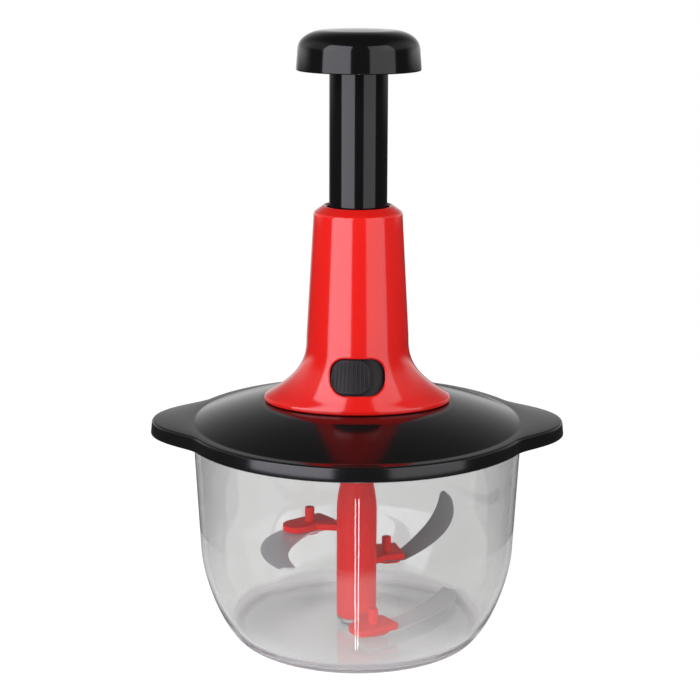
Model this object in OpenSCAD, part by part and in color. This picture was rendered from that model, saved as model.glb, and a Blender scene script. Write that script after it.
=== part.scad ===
// Hand press vegetable chopper: a clear bowl, a domed lid with a tower, and a palm knob on a plunger.
// A twisted strip turns the push of the knob into the spin of three blades.
// Millimetres, +Z up, origin on the table under the middle of the bowl, front towards -Y.

/* [Bowl] */
// Outer radius of the bowl at its rim
bowl_r = 81; // [76:0.1:90]
// Height of the rim above the table
bowl_h = 107.3; // [100:0.1:122]
// Thickness of the bowl wall
bowl_wall = 2.6; // [2:0.1:3.2]
// Lean of the bowl wall from upright, in degrees
bowl_draft = 3; // [1:0.5:4]
// Radius of the foot ring that the bowl stands on
base_r = 59; // [52:0.5:62]
// Height of the round lower corner
corner_h = 44; // [34:1:54]
// Roundness of the lower corner, 1 for a cone and 2 for an ellipse
corner_power = 1.44; // [1.3:0.02:2.2]
// Thickness of the floor above the table
floor_t = 3.5; // [2.6:0.1:5]
// Distance of the flat floor's edge from the foot ring's outside
floor_inset = 1; // [0.5:0.1:6]
// Depth of the hollow inside the foot ring
foot_recess = 1; // [0.5:0.1:1.4]
// Width of the foot ring
foot_w = 5; // [3:0.5:10]

/* [Blade spindle] */
// Radius of the steel pin in the bowl
pin_r = 4; // [3:0.1:5]
// Depth of the pin below the top of the floor
pin_seat = 1.3; // [0.8:0.1:1.5]
// Radius of the boss round the pin
boss_r = 7; // [6.5:0.1:8]
// Height of the boss above the floor
boss_h = 2.4; // [1.5:0.1:4]
// Wall of the steel bush that turns on the pin
bush_wall = 2.4; // [1.5:0.1:2.6]
// Thickness of the ring at the foot of the bush
bush_ring_t = 1.4; // [1:0.1:3]

/* [Blade shaft] */
// Radius of the shaft
shaft_r = 10; // [9.8:0.1:11]
// Height above the floor where the shaft starts to narrow
shaft_taper_h = 58.5; // [57:0.5:62]
// Height of the narrowing stretch
shaft_taper_l = 14; // [8:0.5:18]
// Radius of the neck above it
shaft_neck_r = 8.4; // [7.8:0.1:9]
// Radius of the hexagon head, to its corners
hex_r = 8; // [7.8:0.1:8.4]
// Radius of the bore for the twisted rod
rod_bore_r = 5.2; // [4.5:0.1:5.4]
// Solid web between the rod bore and the pin bore
shaft_web = 4; // [2:0.5:8]

/* [Arms and blades] */
// Height of the bottom arm above the floor
bottom_arm_h = 8.1; // [8:0.1:10]
// Height of the middle arm above the floor
middle_arm_h = 31.8; // [26:0.1:34]
// Height of the top arm above the floor
top_arm_h = 52.1; // [46:0.1:54]
// Distance of the studs from the axis
stud_reach = 24; // [23:0.1:26]
// Radius of the studs
stud_r = 2.4; // [1.8:0.1:3]
// Height of the studs above their arms
stud_h = 7.4; // [5:0.1:10]
// Thickness of an arm above its blade
arm_t = 3.2; // [2.5:0.1:4]
// Thickness of the pad under the blade
pad_t = 1.8; // [1.2:0.1:1.8]
// Half width of an arm at the shaft
arm_half_w = 4.2; // [3:0.1:6]
// Half width of an arm at its stud
arm_end_half_w = 5.2; // [4:0.1:6]
// Thickness of the blades
blade_t = 0.9; // [0.6:0.1:1.2]

/* [Lid] */
// Reach of the lid past the bowl's rim
lid_overhang = 4.6; // [4:0.1:10]
// Reach of the two ears past the lid
ear_reach = 16.1; // [8:0.1:22]
// Half of the angle that an ear takes up, in degrees
ear_half = 27.3; // [20:0.1:40]
// Squareness of an ear's corners
ear_power = 2.1; // [2:0.1:6]
// Height of the rim
rim_h = 7; // [5:0.1:9]
// Thickness of the rim's wall
rim_wall = 2.2; // [1.6:0.1:2.6]
// Thickness of the flat border
border_t = 2.5; // [2:0.1:3.5]
// Width of the flat border round the dome
border_w = 5.5; // [4:0.1:6]
// Height of the dome
dome_h = 9.6; // [8:0.1:15]
// Radius of the flat top of the dome
dome_top_r = 46.8; // [46.2:0.1:52]
// Thickness of the dome
lid_t = 2.4; // [2:0.1:3]
// Bulge of the dome over a straight cone
dome_bulge = 0.8; // [0:0.1:2.5]
// Depth of the plug ring below the border
plug_depth = 7; // [5:0.5:8]
// Thickness of the plug ring
plug_wall = 2.2; // [1.6:0.1:3]
// Thickness of the seal
seal_t = 1.1; // [0.7:0.1:1.4]
// Height of the seal
seal_h = 4.4; // [3:0.1:5]

/* [Housing] */
// Height of the housing
housing_h = 96.8; // [94:0.1:110]
// Half length of the oval flange
flange_rx = 45.8; // [45:0.1:46.2]
// Half depth of the oval flange
flange_ry = 32.6; // [32:0.1:38]
// Height of the flange's edge
flange_edge = 2.6; // [2.4:0.1:5]
// Height where the flare ends
flare_h = 32.6; // [31:0.1:36]
// Steepness of the flare
flare_power = 2.7; // [2.4:0.05:2.9]
// Radius where the flare ends
waist_r = 24.9; // [24.8:0.1:26.5]
// Radius below the shoulder
crown_r = 21.4; // [21.3:0.1:23]
// Height of the shoulder
shoulder_h = 3.2; // [2:0.1:4]
// Radius of the hole for the plunger
mouth_r = 15.2; // [15:0.1:16]
// Thickness of the housing
housing_wall = 1.7; // [1.4:0.1:1.8]

/* [Plunger] */
// Travel of the plunger
stroke = 58; // [46:1:60]
// Gap left under the knob at full press
finger_gap = 6.1; // [5:0.1:12]
// Outer radius of the tube
tube_r = 14; // [13.9:0.05:14.3]
// Wall of the tube
tube_wall = 2; // [1.6:0.1:2.05]
// Height of the stop collar
collar_h = 6; // [4:0.5:8]
// Radius of the knob at its edge
knob_r = 29.8; // [26:0.1:36]
// Height of the knob
knob_h = 19.3; // [18:0.1:26]
// Inward lean of the knob's side
knob_lean = 0.8; // [0:0.1:2]
// Height of the knob's round shoulder
knob_round = 8.7; // [5:0.1:9]
// Width of the knob's round shoulder
knob_round_w = 13; // [8:0.1:18]
// Rise of the knob's crown
knob_crown = 0.5; // [0:0.1:2]
// Wall of the knob
knob_wall = 2.8; // [2:0.1:4]
// Ribs inside the knob
knob_ribs = 6; // [3:1:10]

/* [Drive] */
// Lead of the twisted rod, its advance in one turn
lead = 29; // [24:0.5:40]
// Width of the rod's strip
strip_w = 6; // [5:0.1:6.4]
// Thickness of the rod's strip
strip_t = 2.5; // [2:0.1:3]
// Radius of the nut's bearing
bearing_r = 9; // [8.6:0.1:9.2]
// Radius of the ratchet's flanges
ratchet_r = 14; // [13.5:0.1:15]
// Ratchet teeth
ratchet_teeth = 8; // [6:1:12]
// Height of the ratchet teeth
tooth_h = 2; // [1.4:0.1:2.4]
// Depth of the hexagon socket
socket_depth = 16; // [10:0.5:18]
// Wall of the socket
socket_wall = 2.7; // [2:0.1:3]
// Mean radius of the return spring
spring_r = 10; // [9.5:0.1:10.2]
// Radius of the spring wire
wire_r = 0.7; // [0.5:0.05:0.8]
// Turns of the return spring
spring_turns = 18; // [10:1:24]

/* [Lock] */
// Height of the slider above the foot of the housing
lock_h = 17.6; // [17:0.1:18.4]
// Width of the window
window_w = 27; // [25:0.1:29]
// Height of the window
window_h = 17; // [14:0.1:17.4]
// Width of the button
button_w = 20.4; // [16:0.1:21]
// Corner radius of the window
window_round = 7; // [3:0.1:8]
// Ribs on the button
button_ribs = 9; // [5:1:12]
// Depth of the ribs
rib_depth = 0.5; // [0.2:0.05:0.6]

/* [Fits] */
// Radial gap of a turning fit
running_fit = 0.06; // [0.02:0.01:0.1]
// Gap between faces that slide past each other
slide_gap = 0.35; // [0.3:0.01:0.5]
// Gap between faces that carry a turning load
thrust_gap = 0.1; // [0.05:0.01:0.2]
// Gap between pieces that are fixed together
seat_gap = 0.04; // [0.02:0.01:0.08]

/* [Hidden] */
$fn = 96;

red = [0.86, 0.10, 0.09];
black = [0.09, 0.09, 0.10];
grey = [0.30, 0.30, 0.32];
steel = [0.72, 0.73, 0.74];
clear = [0.86, 0.88, 0.88, 0.35];

// A cut runs this far past the face it opens
past = 1;

// Bowl
floor_r = base_r - floor_inset;
corner_steps = 14;
wall_lean = tan(bowl_draft);
corner_wall_r = bowl_r - (bowl_h - corner_h) * wall_lean;
boss_top = floor_t + boss_h;
pin_bottom = floor_t - pin_seat;

// Lid, from the bowl's rim up
lid_r = bowl_r + lid_overhang;
dome_r = lid_r - border_w;
rim_top = bowl_h + border_t;
rim_bottom = rim_top - rim_h;
dome_top = rim_top + dome_h;
lid_under = dome_top - lid_t;
plug_bottom = bowl_h - plug_depth;
plug_r = bowl_r - bowl_wall - plug_depth * wall_lean - seal_t - slide_gap;
nut_room = 2.4;
lid_hole_r = bearing_r + nut_room;
border_lap = 3;
seal_foot = 0.8;
dome_steps = 8;
outline_step = 3;

// Bearing plate and spring cup, on the dome
plate_t = 3;
plate_r = 36.5;
plate_half_d = 20;
plate_top = dome_top + plate_t;
plate_boss_h = 2;
boss_room = 0.5;
plate_boss_r = tube_r - tube_wall - boss_room;
clip_bottom = plate_top + plate_boss_h + thrust_gap;
clip_t = 1;
clip_lip = 0.9;
clip_r = bearing_r + clip_lip;
clip_groove = 0.8;
journal_end = 1;
journal_top = clip_bottom + clip_t + journal_end;
cup_wall = 1.1;
cup_top_t = 1.2;
cup_room = 1.4;
cup_top = journal_top + cup_room + cup_top_t;
cup_hole_r = strip_w / 2 + cup_room;

// Drive, hung below the lid
washer_t = 0.6;
washer_margin = 0.8;
washer_bottom = lid_under - washer_t;
nut_flange_t = 3.2;
nut_flange_top = washer_bottom - thrust_gap;
nut_face = nut_flange_top - nut_flange_t;
tooth_gap = 0.3;
hub_face = nut_face - tooth_h - tooth_gap;
hub_flange_t = 3;
hub_shoulder = hub_face - hub_flange_t;
cup_floor = hub_shoulder - thrust_gap - washer_t;
hub_r = hex_r + socket_wall;
bearing_l = 6;
retainer_bottom = cup_floor - bearing_l;
retainer_wall = 2.2;
retainer_r = ratchet_r + slide_gap + retainer_wall;
retainer_flange_r = 24;
retainer_flange_t = 2.4;
hub_web = 1.6;
socket_top = hub_shoulder - hub_web;
hub_bottom = socket_top - socket_depth;
tooth_inset = 1.2;
tooth_outset = 0.8;
tooth_in_r = hex_r + tooth_inset;
tooth_share = 0.9;
thread_l = 4.6;
slot_above_flange = 3;

// Blade rotor, from the bowl's boss up to the hub
rotor_foot = boss_top + thrust_gap;
shaft_bottom = rotor_foot + bush_ring_t;
shaft_shoulder = hub_bottom - slide_gap;
head_top = socket_top - slide_gap;
rod_lead_in = 6;
rod_bottom = nut_face - tooth_h - rod_lead_in;
rod_end_gap = 2;
rod_bore_floor = rod_bottom - stroke - rod_end_gap;
bush_top = rod_bore_floor - shaft_web;
pin_end_gap = 1;
pin_top = bush_top - pin_end_gap;
bush_r = pin_r + running_fit + bush_wall;

// Arms and blades, from the bottom one up: headings are turned from the arms, in degrees
arm_zs = [floor_t + bottom_arm_h, floor_t + middle_arm_h, floor_t + top_arm_h];
arm_dirs = [-70, 50, 170];
plate_fronts = [10, 7.7, 14.5];
plate_backs = [13, 8, 12];
plate_rights = [8, 7.6, 7.5];
plate_lefts = [6.5, 10.5, 6.5];
pad_reaches = [4, 3, 0.5];
blade_widths = [11.9, 12.4, 14.6];
blade_headings = [105.2, -35.7, 49.1];
blade_straights = [9.2, 7.9, 5.2];
blade_curve_rs = [90, 37, 34.5];
blade_curve_ls = [65.5, 45.4, 50.3];
blade_rises = [0, 23.6, -4.3];
blade_rolls = [0, 7.7, -9.1];
blade_tips = [0.27, 0.1, 0.64];
tip_starts = [0.79, 0.31, 0.3];
roll_share = 0.29;
blade_gap = 0.05;
root_back = 6;
pad_half_w = 4.6;
blade_steps = 26;

// Plunger, from the bearing plate up
stop_gap = 0.6;
tube_bottom = plate_top + stop_gap + stroke;
collar_top = tube_bottom + collar_h;
housing_top = dome_top + housing_h;
knob_bottom = housing_top + stroke + finger_gap;
knob_top = knob_bottom + knob_h;
tube_in_r = tube_r - tube_wall;
tube_in_knob = 9;
tube_top = knob_bottom + tube_in_knob;
anchor_r = tube_in_r - seat_gap;
anchor_below = 8;
anchor_above = 4;
anchor_bottom = knob_bottom - anchor_below;
anchor_top = knob_bottom + anchor_above;
knob_socket_wall = 2.4;
socket_r = tube_r + knob_socket_wall;
pin_below = 3;
pin_z = knob_bottom - pin_below;
cross_pin_r = 1.5;
pin_inset = 0.8;
rod_cover = 1.5;
rod_top = anchor_top - rod_cover;
rod_half_diag = norm([strip_w, strip_t]) / 2;
rod_hole_gap = 0.15;
rod_hole_r = rod_half_diag + rod_hole_gap;
strip_steps = 40;
knob_screw_x = 6.4;
knob_ceiling = knob_top - knob_wall - knob_crown;
screw_hole_top = knob_ceiling - knob_wall / 3;
rib_rise = 3;
rib_end_gap = 0.5;
knob_steps = 8;

// Guide sleeve
collar_reach = 2.4;
sleeve_wall = 2.2;
sleeve_in_r = tube_r + collar_reach;
sleeve_r = sleeve_in_r + sleeve_wall;
collar_r = sleeve_in_r - slide_gap;
neck_bottom = collar_top + slide_gap;
sleeve_top = housing_top - shoulder_h - housing_wall - seat_gap;
key_w = 3;
key_depth = 1.2;

// Housing
flare_top = dome_top + flare_h;
flare_foot = dome_top + flange_edge;
crown_z = housing_top - shoulder_h;
flare_steps = 11;
flare_spacing = 1.4;
crown_steps = 4;
shoulder_power = 2.2;
oval_sides = 60;
oval_edge = 0.9;
post_x = 28;
post_y = 12.5;
post_r = 3.2;
post_h = 5.2;

// Lock slider, turning about the plunger's axis
lock_z = dome_top + lock_h;
slider_room = 0.5;
slider_out_r = waist_r - housing_wall - slider_room;
slider_t = 1.5;
slider_in_r = slider_out_r - slider_t;
slider_mid_r = slider_out_r - slider_t / 2;
front_a = -90;
window_y = 60;
surface_r = flare_radius(flange_ry, lock_z);
window_half_a = asin(window_w / 2 / surface_r);
button_half_a = asin((button_w / 2) / surface_r);
button_gap_a = slide_gap / surface_r * 180 / PI;
button_a = button_half_a + button_gap_a - window_half_a;
corner_ease_a = 1.3;
lock_travel = -2 * button_a - corner_ease_a;
button_sink = 0.3;
button_left = slide_gap - window_w / 2;
button_half_h = window_h / 2 - slide_gap;
button_foot_r = flare_radius(flange_ry, lock_z - button_half_h);
button_round = min(window_round, window_h / 2 - seat_gap) - slide_gap;
rib_margin = 1.4;
rib_pitch_a = 2 * button_half_a / (button_ribs + rib_margin);
slider_lap = 1.8;
slider_half_h = window_h / 2 + slider_lap;
slider_side_a = 5;
rail_t = 1.4;
rail_step = 0.15;
rail_r = slider_out_r + rail_step;
rail_half_a = 60;
tongue_t = 3;
tongue_w = 2.4;
tongue_end_gap = 0.4;
tongue_in_r = tube_in_r + tongue_end_gap;
groove_gap = 0.5;
groove_ease_a = 0.8;
groove_a = (tongue_w / 2 + groove_gap) / tongue_in_r * 180 / PI;

// Screws
screw_r = 1.5;
screw_head_r = 2.8;
screw_head_h = 2;
small_screw_r = 1.25;
small_head_r = 2.2;
retainer_screw_pcr = 20.4;
retainer_screw_n = 3;

// Radius of a round corner at height z, from its foot to the wall above it
function corner_radius(z, foot_r, wall_r, bottom, top) =
    let (share = 1 - (z - bottom) / (top - bottom))
    foot_r + (wall_r - foot_r) * pow(1 - pow(share, corner_power), 1 / corner_power);

// Heights along a corner, closer together at its foot
function corner_heights(bottom, top) =
    [for (i = [0 : corner_steps]) bottom + (top - bottom) * (1 - cos(90 * i / corner_steps))];

// Half width of the housing at height z, for one of the two half widths of the flange
function flare_radius(flange, z) =
    z >= crown_z ? crown_r + (mouth_r - crown_r) * pow((z - crown_z) / shoulder_h, shoulder_power)
    : z >= flare_top ? waist_r + (crown_r - waist_r) * (z - flare_top) / (crown_z - flare_top)
    : waist_r + (flange - waist_r) * pow(1 - max(0, z - flare_foot) / (flare_top - flare_foot), flare_power);

// Distance of the lid's edge from the axis in direction a
function lid_edge(a, base) =
    let (from_ear = min(abs(a), abs(180 - abs(a))))
    base + (from_ear < ear_half ? ear_reach * pow(1 - pow(from_ear / ear_half, ear_power), 2) : 0);

// Points of the dome from its foot to its flat top, bulging over a straight cone
function dome_curve(foot_r, foot_z, top_z) =
    [for (i = [0 : dome_steps])
        let (t = i / dome_steps)
        [foot_r + (dome_top_r - foot_r) * t, foot_z + (top_z - foot_z) * t + dome_bulge * 4 * t * (1 - t)]];

// Angle of the twisted strip at height z
function twist_at(z) = -360 * (z - pin_z) / lead;

module ring(outer, inner, bottom, top) {
    difference() {
        translate([0, 0, bottom]) cylinder(r = outer, h = top - bottom);
        translate([0, 0, bottom - past]) cylinder(r = inner, h = top - bottom + 2 * past);
    }
}

module rod(r, bottom, top) {
    translate([0, 0, bottom]) cylinder(r = r, h = top - bottom);
}

// A solid through closed rings of points, from the first ring up to the last
module loft(rings) {
    n = len(rings[0]);
    last = len(rings) - 1;
    sides = [for (j = [0 : last - 1], i = [0 : n - 1])
        let (a = j * n + i, b = j * n + (i + 1) % n)
        each [[a, a + n, b + n], [a, b + n, b]]];
    ends = [[for (i = [0 : n - 1]) i], [for (i = [n - 1 : -1 : 0]) last * n + i]];
    polyhedron(points = [for (r = rings) each r], faces = concat(sides, ends));
}

// A sector of a ring, centred on direction a
module sector(outer, inner, bottom, top, a, half_a) {
    translate([0, 0, bottom])
        rotate([0, 0, a - half_a])
        rotate_extrude(angle = 2 * half_a)
        translate([inner, 0])
        square([outer - inner, top - bottom]);
}

// The twisted strip, larger by gap on each side
module strip(bottom, top, gap) {
    w = strip_w / 2 + gap;
    t = strip_t / 2 + gap;
    steps = ceil((top - bottom) / lead * strip_steps);
    loft([for (i = [0 : steps])
        let (z = bottom + (top - bottom) * i / steps, a = twist_at(z))
        [for (p = [[w, -t], [w, t], [-w, t], [-w, -t]])
            [p.x * cos(a) - p.y * sin(a), p.x * sin(a) + p.y * cos(a), z]]]);
}

// A screw that points up, with its head at the foot
module screw(shank_r, head_r, head_h, seat, tip) {
    translate([0, 0, seat - head_h]) cylinder(r = head_r, h = head_h);
    translate([0, 0, seat - head_h / 2]) cylinder(r = shank_r, h = tip - seat + head_h / 2);
}

module bowl() {
    inner_wall_r = corner_wall_r - bowl_wall;
    outer = [for (z = corner_heights(0, corner_h))
        [corner_radius(z, base_r, corner_wall_r, 0, corner_h), z]];
    inner = [for (z = corner_heights(floor_t, corner_h))
        [corner_radius(z, floor_r, inner_wall_r, floor_t, corner_h), z]];
    floor_side = [[boss_r, floor_t], [boss_r, boss_top], [pin_r + seat_gap, boss_top],
        [pin_r + seat_gap, pin_bottom], [0, pin_bottom]];
    foot_side = [[0, foot_recess], [base_r - foot_w - foot_recess, foot_recess], [base_r - foot_w, 0]];
    color(clear)
        rotate_extrude()
        polygon(concat(outer, [[bowl_r, bowl_h], [bowl_r - bowl_wall, bowl_h]],
            [for (i = [corner_steps : -1 : 0]) inner[i]], floor_side, foot_side));
}

module spindle_pin() {
    dome = pin_r / 2;
    color(steel)
        rotate_extrude()
        polygon([[0, pin_bottom], [pin_r, pin_bottom], [pin_r, pin_top - dome],
            [dome, pin_top], [0, pin_top]]);
}

// The plate at the end of an arm, along its blade
module arm_plate(i) {
    rotate([0, 0, arm_dirs[i]])
        translate([stud_reach, 0])
        rotate([0, 0, blade_headings[i]])
        translate([-plate_backs[i], -plate_rights[i]])
        square([plate_backs[i] + plate_fronts[i], plate_rights[i] + plate_lefts[i]]);
}

// The pad that holds a blade up to its plate
module blade_pad(i) {
    rotate([0, 0, arm_dirs[i]])
        translate([stud_reach, 0])
        rotate([0, 0, blade_headings[i]]) {
        circle(r = pad_half_w);
        translate([pad_reaches[i], 0]) circle(r = pad_half_w);
        translate([0, -pad_half_w]) square([pad_reaches[i], 2 * pad_half_w]);
    }
}

module arm(i) {
    under = arm_zs[i] - arm_t;
    pad_top = under - blade_t - 2 * blade_gap;
    pad_bottom = pad_top - pad_t;
    translate([0, 0, under]) linear_extrude(arm_t) arm_plate(i);
    translate([0, 0, under])
        linear_extrude(arm_t)
        rotate([0, 0, arm_dirs[i]])
        polygon([[0, -arm_half_w], [stud_reach, -arm_end_half_w],
            [stud_reach, arm_end_half_w], [0, arm_half_w]]);
    translate([0, 0, pad_bottom]) linear_extrude(pad_t) blade_pad(i);
    rotate([0, 0, arm_dirs[i]])
        translate([stud_reach, 0, 0])
        rod(stud_r, pad_bottom + pad_t / 2, arm_zs[i] + stud_h);
}

module blade_shaft() {
    taper_foot = floor_t + shaft_taper_h;
    taper_steps = 6;
    taper = [for (i = [0 : taper_steps])
        let (t = i / taper_steps)
        [shaft_r + (shaft_neck_r - shaft_r) * t * t, taper_foot + shaft_taper_l * t]];
    color(red)
    difference() {
        union() {
            rotate_extrude()
                polygon(concat([[0, shaft_bottom], [shaft_r, shaft_bottom]], taper,
                    [[shaft_neck_r, shaft_shoulder], [0, shaft_shoulder]]));
            translate([0, 0, shaft_shoulder - past])
                cylinder(r = hex_r, h = head_top - shaft_shoulder + past, $fn = 6);
            for (i = [0 : len(arm_dirs) - 1]) arm(i);
        }
        rod(rod_bore_r, rod_bore_floor, head_top + past);
        rod(bush_r + seat_gap, -past, bush_top);
        rod(shaft_r + seat_gap, -past, shaft_bottom);
    }
}

module foot_bush() {
    color(steel)
    difference() {
        union() {
            rod(shaft_r, rotor_foot, shaft_bottom);
            rod(bush_r, shaft_bottom - past / 2, bush_top - seat_gap);
        }
        rod(pin_r + running_fit, -past, bush_top + past);
    }
}

// Blade i as a bent strip: it leaves its stud straight, then curves left as it climbs and rolls
module blade(i) {
    straight = blade_straights[i];
    curve = blade_curve_ls[i];
    curve_r = blade_curve_rs[i];
    half = blade_widths[i] / 2;
    start_a = arm_dirs[i] + blade_headings[i];
    middle_z = arm_zs[i] - arm_t - blade_gap - blade_t / 2;
    stud = stud_reach * [cos(arm_dirs[i]), sin(arm_dirs[i])];
    bend = stud + straight * [cos(start_a), sin(start_a)];
    lengths = concat([-root_back], [for (j = [0 : blade_steps]) straight + curve * j / blade_steps]);
    rings = [for (s = lengths)
        let (
            t = max(0, s - straight) / curve,
            turned = curve * t / curve_r * 180 / PI,
            heading = start_a + turned,
            left = [-sin(heading), cos(heading), 0],
            up = [0, 0, 1],
            curved = bend + curve_r * [sin(heading) - sin(start_a), cos(start_a) - cos(heading)],
            plan = s < straight ? stud + s * [cos(start_a), sin(start_a)] : curved,
            middle = [plan.x, plan.y, middle_z + blade_rises[i] * t],
            roll = blade_rolls[i] * min(1, t / roll_share),
            across = cos(roll) * left + sin(roll) * up,
            thick = (cos(roll) * up - sin(roll) * left) * blade_t / 2,
            taper = pow(max(0, t - tip_starts[i]) / (1 - tip_starts[i]), 2),
            inner = half * across,
            outer = half * across * (1 - 2 * (1 - blade_tips[i]) * taper))
        [middle + inner - thick, middle + inner + thick, middle - outer + thick, middle - outer - thick]];
    color(steel)
    difference() {
        loft(rings);
        translate([stud.x, stud.y, 0]) rod(stud_r + seat_gap, middle_z - past, middle_z + past);
    }
}

module bottom_blade() { blade(0); }

module middle_blade() { blade(1); }

module top_blade() { blade(2); }

module lid_outline(base) {
    polygon([for (a = [-180 : outline_step : 180 - outline_step]) lid_edge(a, base) * [cos(a), sin(a)]]);
}

module lid() {
    under_r = dome_r - border_lap;
    dome_line = dome_curve(dome_r, rim_top, dome_top);
    under_line = dome_curve(under_r, bowl_h, lid_under);
    color(black)
    difference() {
        union() {
            difference() {
                translate([0, 0, rim_bottom]) linear_extrude(rim_h) lid_outline(lid_r);
                translate([0, 0, rim_bottom - past])
                    linear_extrude(rim_h - border_t + past) lid_outline(lid_r - rim_wall);
                rod(under_r, rim_bottom - past, rim_top + past);
            }
            rotate_extrude()
                polygon(concat([[dome_r, bowl_h]], dome_line,
                    [[lid_hole_r, dome_top], [lid_hole_r, lid_under]],
                    [for (i = [dome_steps : -1 : 0]) under_line[i]]));
            ring(plug_r, plug_r - plug_wall, plug_bottom, rim_top);
        }
        for (x = [-post_x, post_x], y = [-post_y, post_y])
            translate([x, y, 0]) rod(screw_r + seat_gap, lid_under - past, dome_top + past);
        for (i = [0 : retainer_screw_n - 1])
            rotate([0, 0, front_a + 360 * i / retainer_screw_n])
            translate([retainer_screw_pcr, 0, 0])
            rod(small_screw_r + seat_gap, lid_under - past, dome_top + past);
    }
}

module lid_seal() {
    foot = plug_bottom + seal_foot;
    lip = seal_t - seat_gap;
    color(grey)
        rotate_extrude()
        translate([plug_r + seat_gap, foot])
        polygon([[0, 0], [seal_t / 2, 0], [lip, seal_h / 2], [seal_t / 2, seal_h], [0, seal_h]]);
}

// Closed rings of the housing's outside, or of its inside when it is drawn in by a wall
function housing_rings(wall) =
    let (
        flare = [for (i = [0 : flare_steps])
            flare_foot + (flare_top - flare_foot) * pow(i / flare_steps, flare_spacing)],
        crown = [for (i = [0 : crown_steps]) crown_z + shoulder_h * sin(90 * i / crown_steps)],
        zs = concat(flare, crown),
        edge = wall == 0
            ? [[flange_rx - oval_edge, flange_ry - oval_edge, dome_top],
                [flange_rx, flange_ry, dome_top + oval_edge]]
            : [[flange_rx - wall, flange_ry - wall, dome_top - past]],
        rows = concat(edge, [for (z = zs)
            [flare_radius(flange_rx, z) - wall, flare_radius(flange_ry, z) - wall, z - wall]]))
    [for (row = rows) [for (k = [0 : oval_sides - 1])
        [row.x * cos(360 * k / oval_sides), row.y * sin(360 * k / oval_sides), row.z]]];

module window_shape(w) {
    r = min(window_round, window_h / 2 - seat_gap);
    h = window_h;
    translate([0, lock_z]) {
        square([w - 2 * r, h], center = true);
        square([w, h - 2 * r], center = true);
        for (sx = [-1, 1], sz = [-1, 1])
            translate([sx * (w / 2 - r), sz * (h / 2 - r)]) circle(r = r);
    }
}

module housing_shell() {
    color(red)
    difference() {
        union() {
            difference() {
                loft(housing_rings(0));
                loft(housing_rings(housing_wall));
            }
            for (x = [-post_x, post_x], y = [-post_y, post_y])
                translate([x, y, 0]) rod(post_r, plate_top, plate_top + post_h);
        }
        rod(mouth_r, sleeve_top, housing_top + past);
        for (x = [-post_x, post_x], y = [-post_y, post_y])
            translate([x, y, 0]) rod(screw_r + seat_gap, plate_top - past, plate_top + thread_l);
        rotate([90, 0, 0])
            translate([0, 0, tube_r])
            linear_extrude(window_y)
            window_shape(window_w);
    }
}

module guide_sleeve() {
    slot_a = front_a + button_a + lock_travel / 2;
    slot_half_a = lock_travel / 2 + groove_a;
    slot_half_h = tongue_t / 2 + groove_gap;
    color(grey)
    difference() {
        union() {
            ring(sleeve_r, sleeve_in_r, plate_top, sleeve_top);
            ring(sleeve_in_r + past / 2, tube_r + slide_gap, neck_bottom, sleeve_top);
            for (a = [0, 180])
                rotate([0, 0, a])
                translate([sleeve_in_r - key_depth, -key_w / 2, plate_top])
                cube([key_depth + past / 2, key_w, neck_bottom - plate_top]);
            for (side = [-1, 1])
                let (z = lock_z + side * (slider_half_h + slide_gap + rail_t / 2))
                sector(rail_r, sleeve_r - past / 2, z - rail_t / 2, z + rail_t / 2, front_a, rail_half_a);
        }
        sector(sleeve_r + past, tube_r, lock_z - slot_half_h, lock_z + slot_half_h, slot_a, slot_half_a);
    }
}

module bearing_plate() {
    color(black)
    difference() {
        union() {
            translate([0, 0, dome_top])
                linear_extrude(plate_t)
                intersection() {
                    circle(r = plate_r);
                    square([2 * plate_r, 2 * plate_half_d], center = true);
                }
            rod(plate_boss_r, dome_top, plate_top + plate_boss_h);
        }
        rod(bearing_r, dome_top - past, plate_top + plate_boss_h + past);
        for (x = [-post_x, post_x], y = [-post_y, post_y])
            translate([x, y, 0]) rod(screw_r + seat_gap, dome_top - past, plate_top + past);
        for (i = [0 : retainer_screw_n - 1])
            rotate([0, 0, front_a + 360 * i / retainer_screw_n])
            translate([retainer_screw_pcr, 0, 0])
            rod(small_screw_r + seat_gap, dome_top - past, plate_top + past);
    }
}

module housing_screws() {
    color(steel)
        for (x = [-post_x, post_x], y = [-post_y, post_y])
            translate([x, y, 0])
            screw(screw_r, screw_head_r, screw_head_h, lid_under, plate_top + thread_l - seat_gap);
}

module spring_cup() {
    foot = plate_top + plate_boss_h;
    color(steel)
    difference() {
        rod(plate_boss_r, foot, cup_top);
        rod(plate_boss_r - cup_wall, foot - past, cup_top - cup_top_t);
        rod(cup_hole_r, foot, cup_top + past);
    }
}

module return_spring() {
    sides = 6;
    steps = 8;
    bottom = cup_top + wire_r + seat_gap;
    rise = anchor_bottom - wire_r - seat_gap - bottom;
    count = spring_turns * steps;
    rings = [for (i = [0 : count])
        let (a = 360 * i / steps, z = bottom + rise * i / count)
        [for (k = [0 : sides - 1])
            let (b = 360 * k / sides, r = spring_r - wire_r * cos(b))
            [r * cos(a), r * sin(a), z + wire_r * sin(b)]]];
    color(steel) loft(rings);
}

module thrust_washer() {
    color(steel) ring(ratchet_r - washer_margin, bearing_r + slide_gap, washer_bottom, lid_under);
}

module drive_retainer() {
    color(black)
    difference() {
        union() {
            rod(retainer_r, retainer_bottom, lid_under);
            rod(retainer_flange_r, lid_under - retainer_flange_t, lid_under);
        }
        rod(hub_r + running_fit, retainer_bottom - past, lid_under);
        rod(ratchet_r + slide_gap, cup_floor, lid_under + past);
        for (i = [0 : retainer_screw_n - 1])
            rotate([0, 0, front_a + 360 * i / retainer_screw_n])
            translate([retainer_screw_pcr, 0, 0])
            rod(small_screw_r + seat_gap, retainer_bottom, lid_under + past);
    }
}

module spring_washer() {
    color(steel) ring(ratchet_r - washer_margin, hub_r + slide_gap, cup_floor, cup_floor + washer_t);
}

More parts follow.
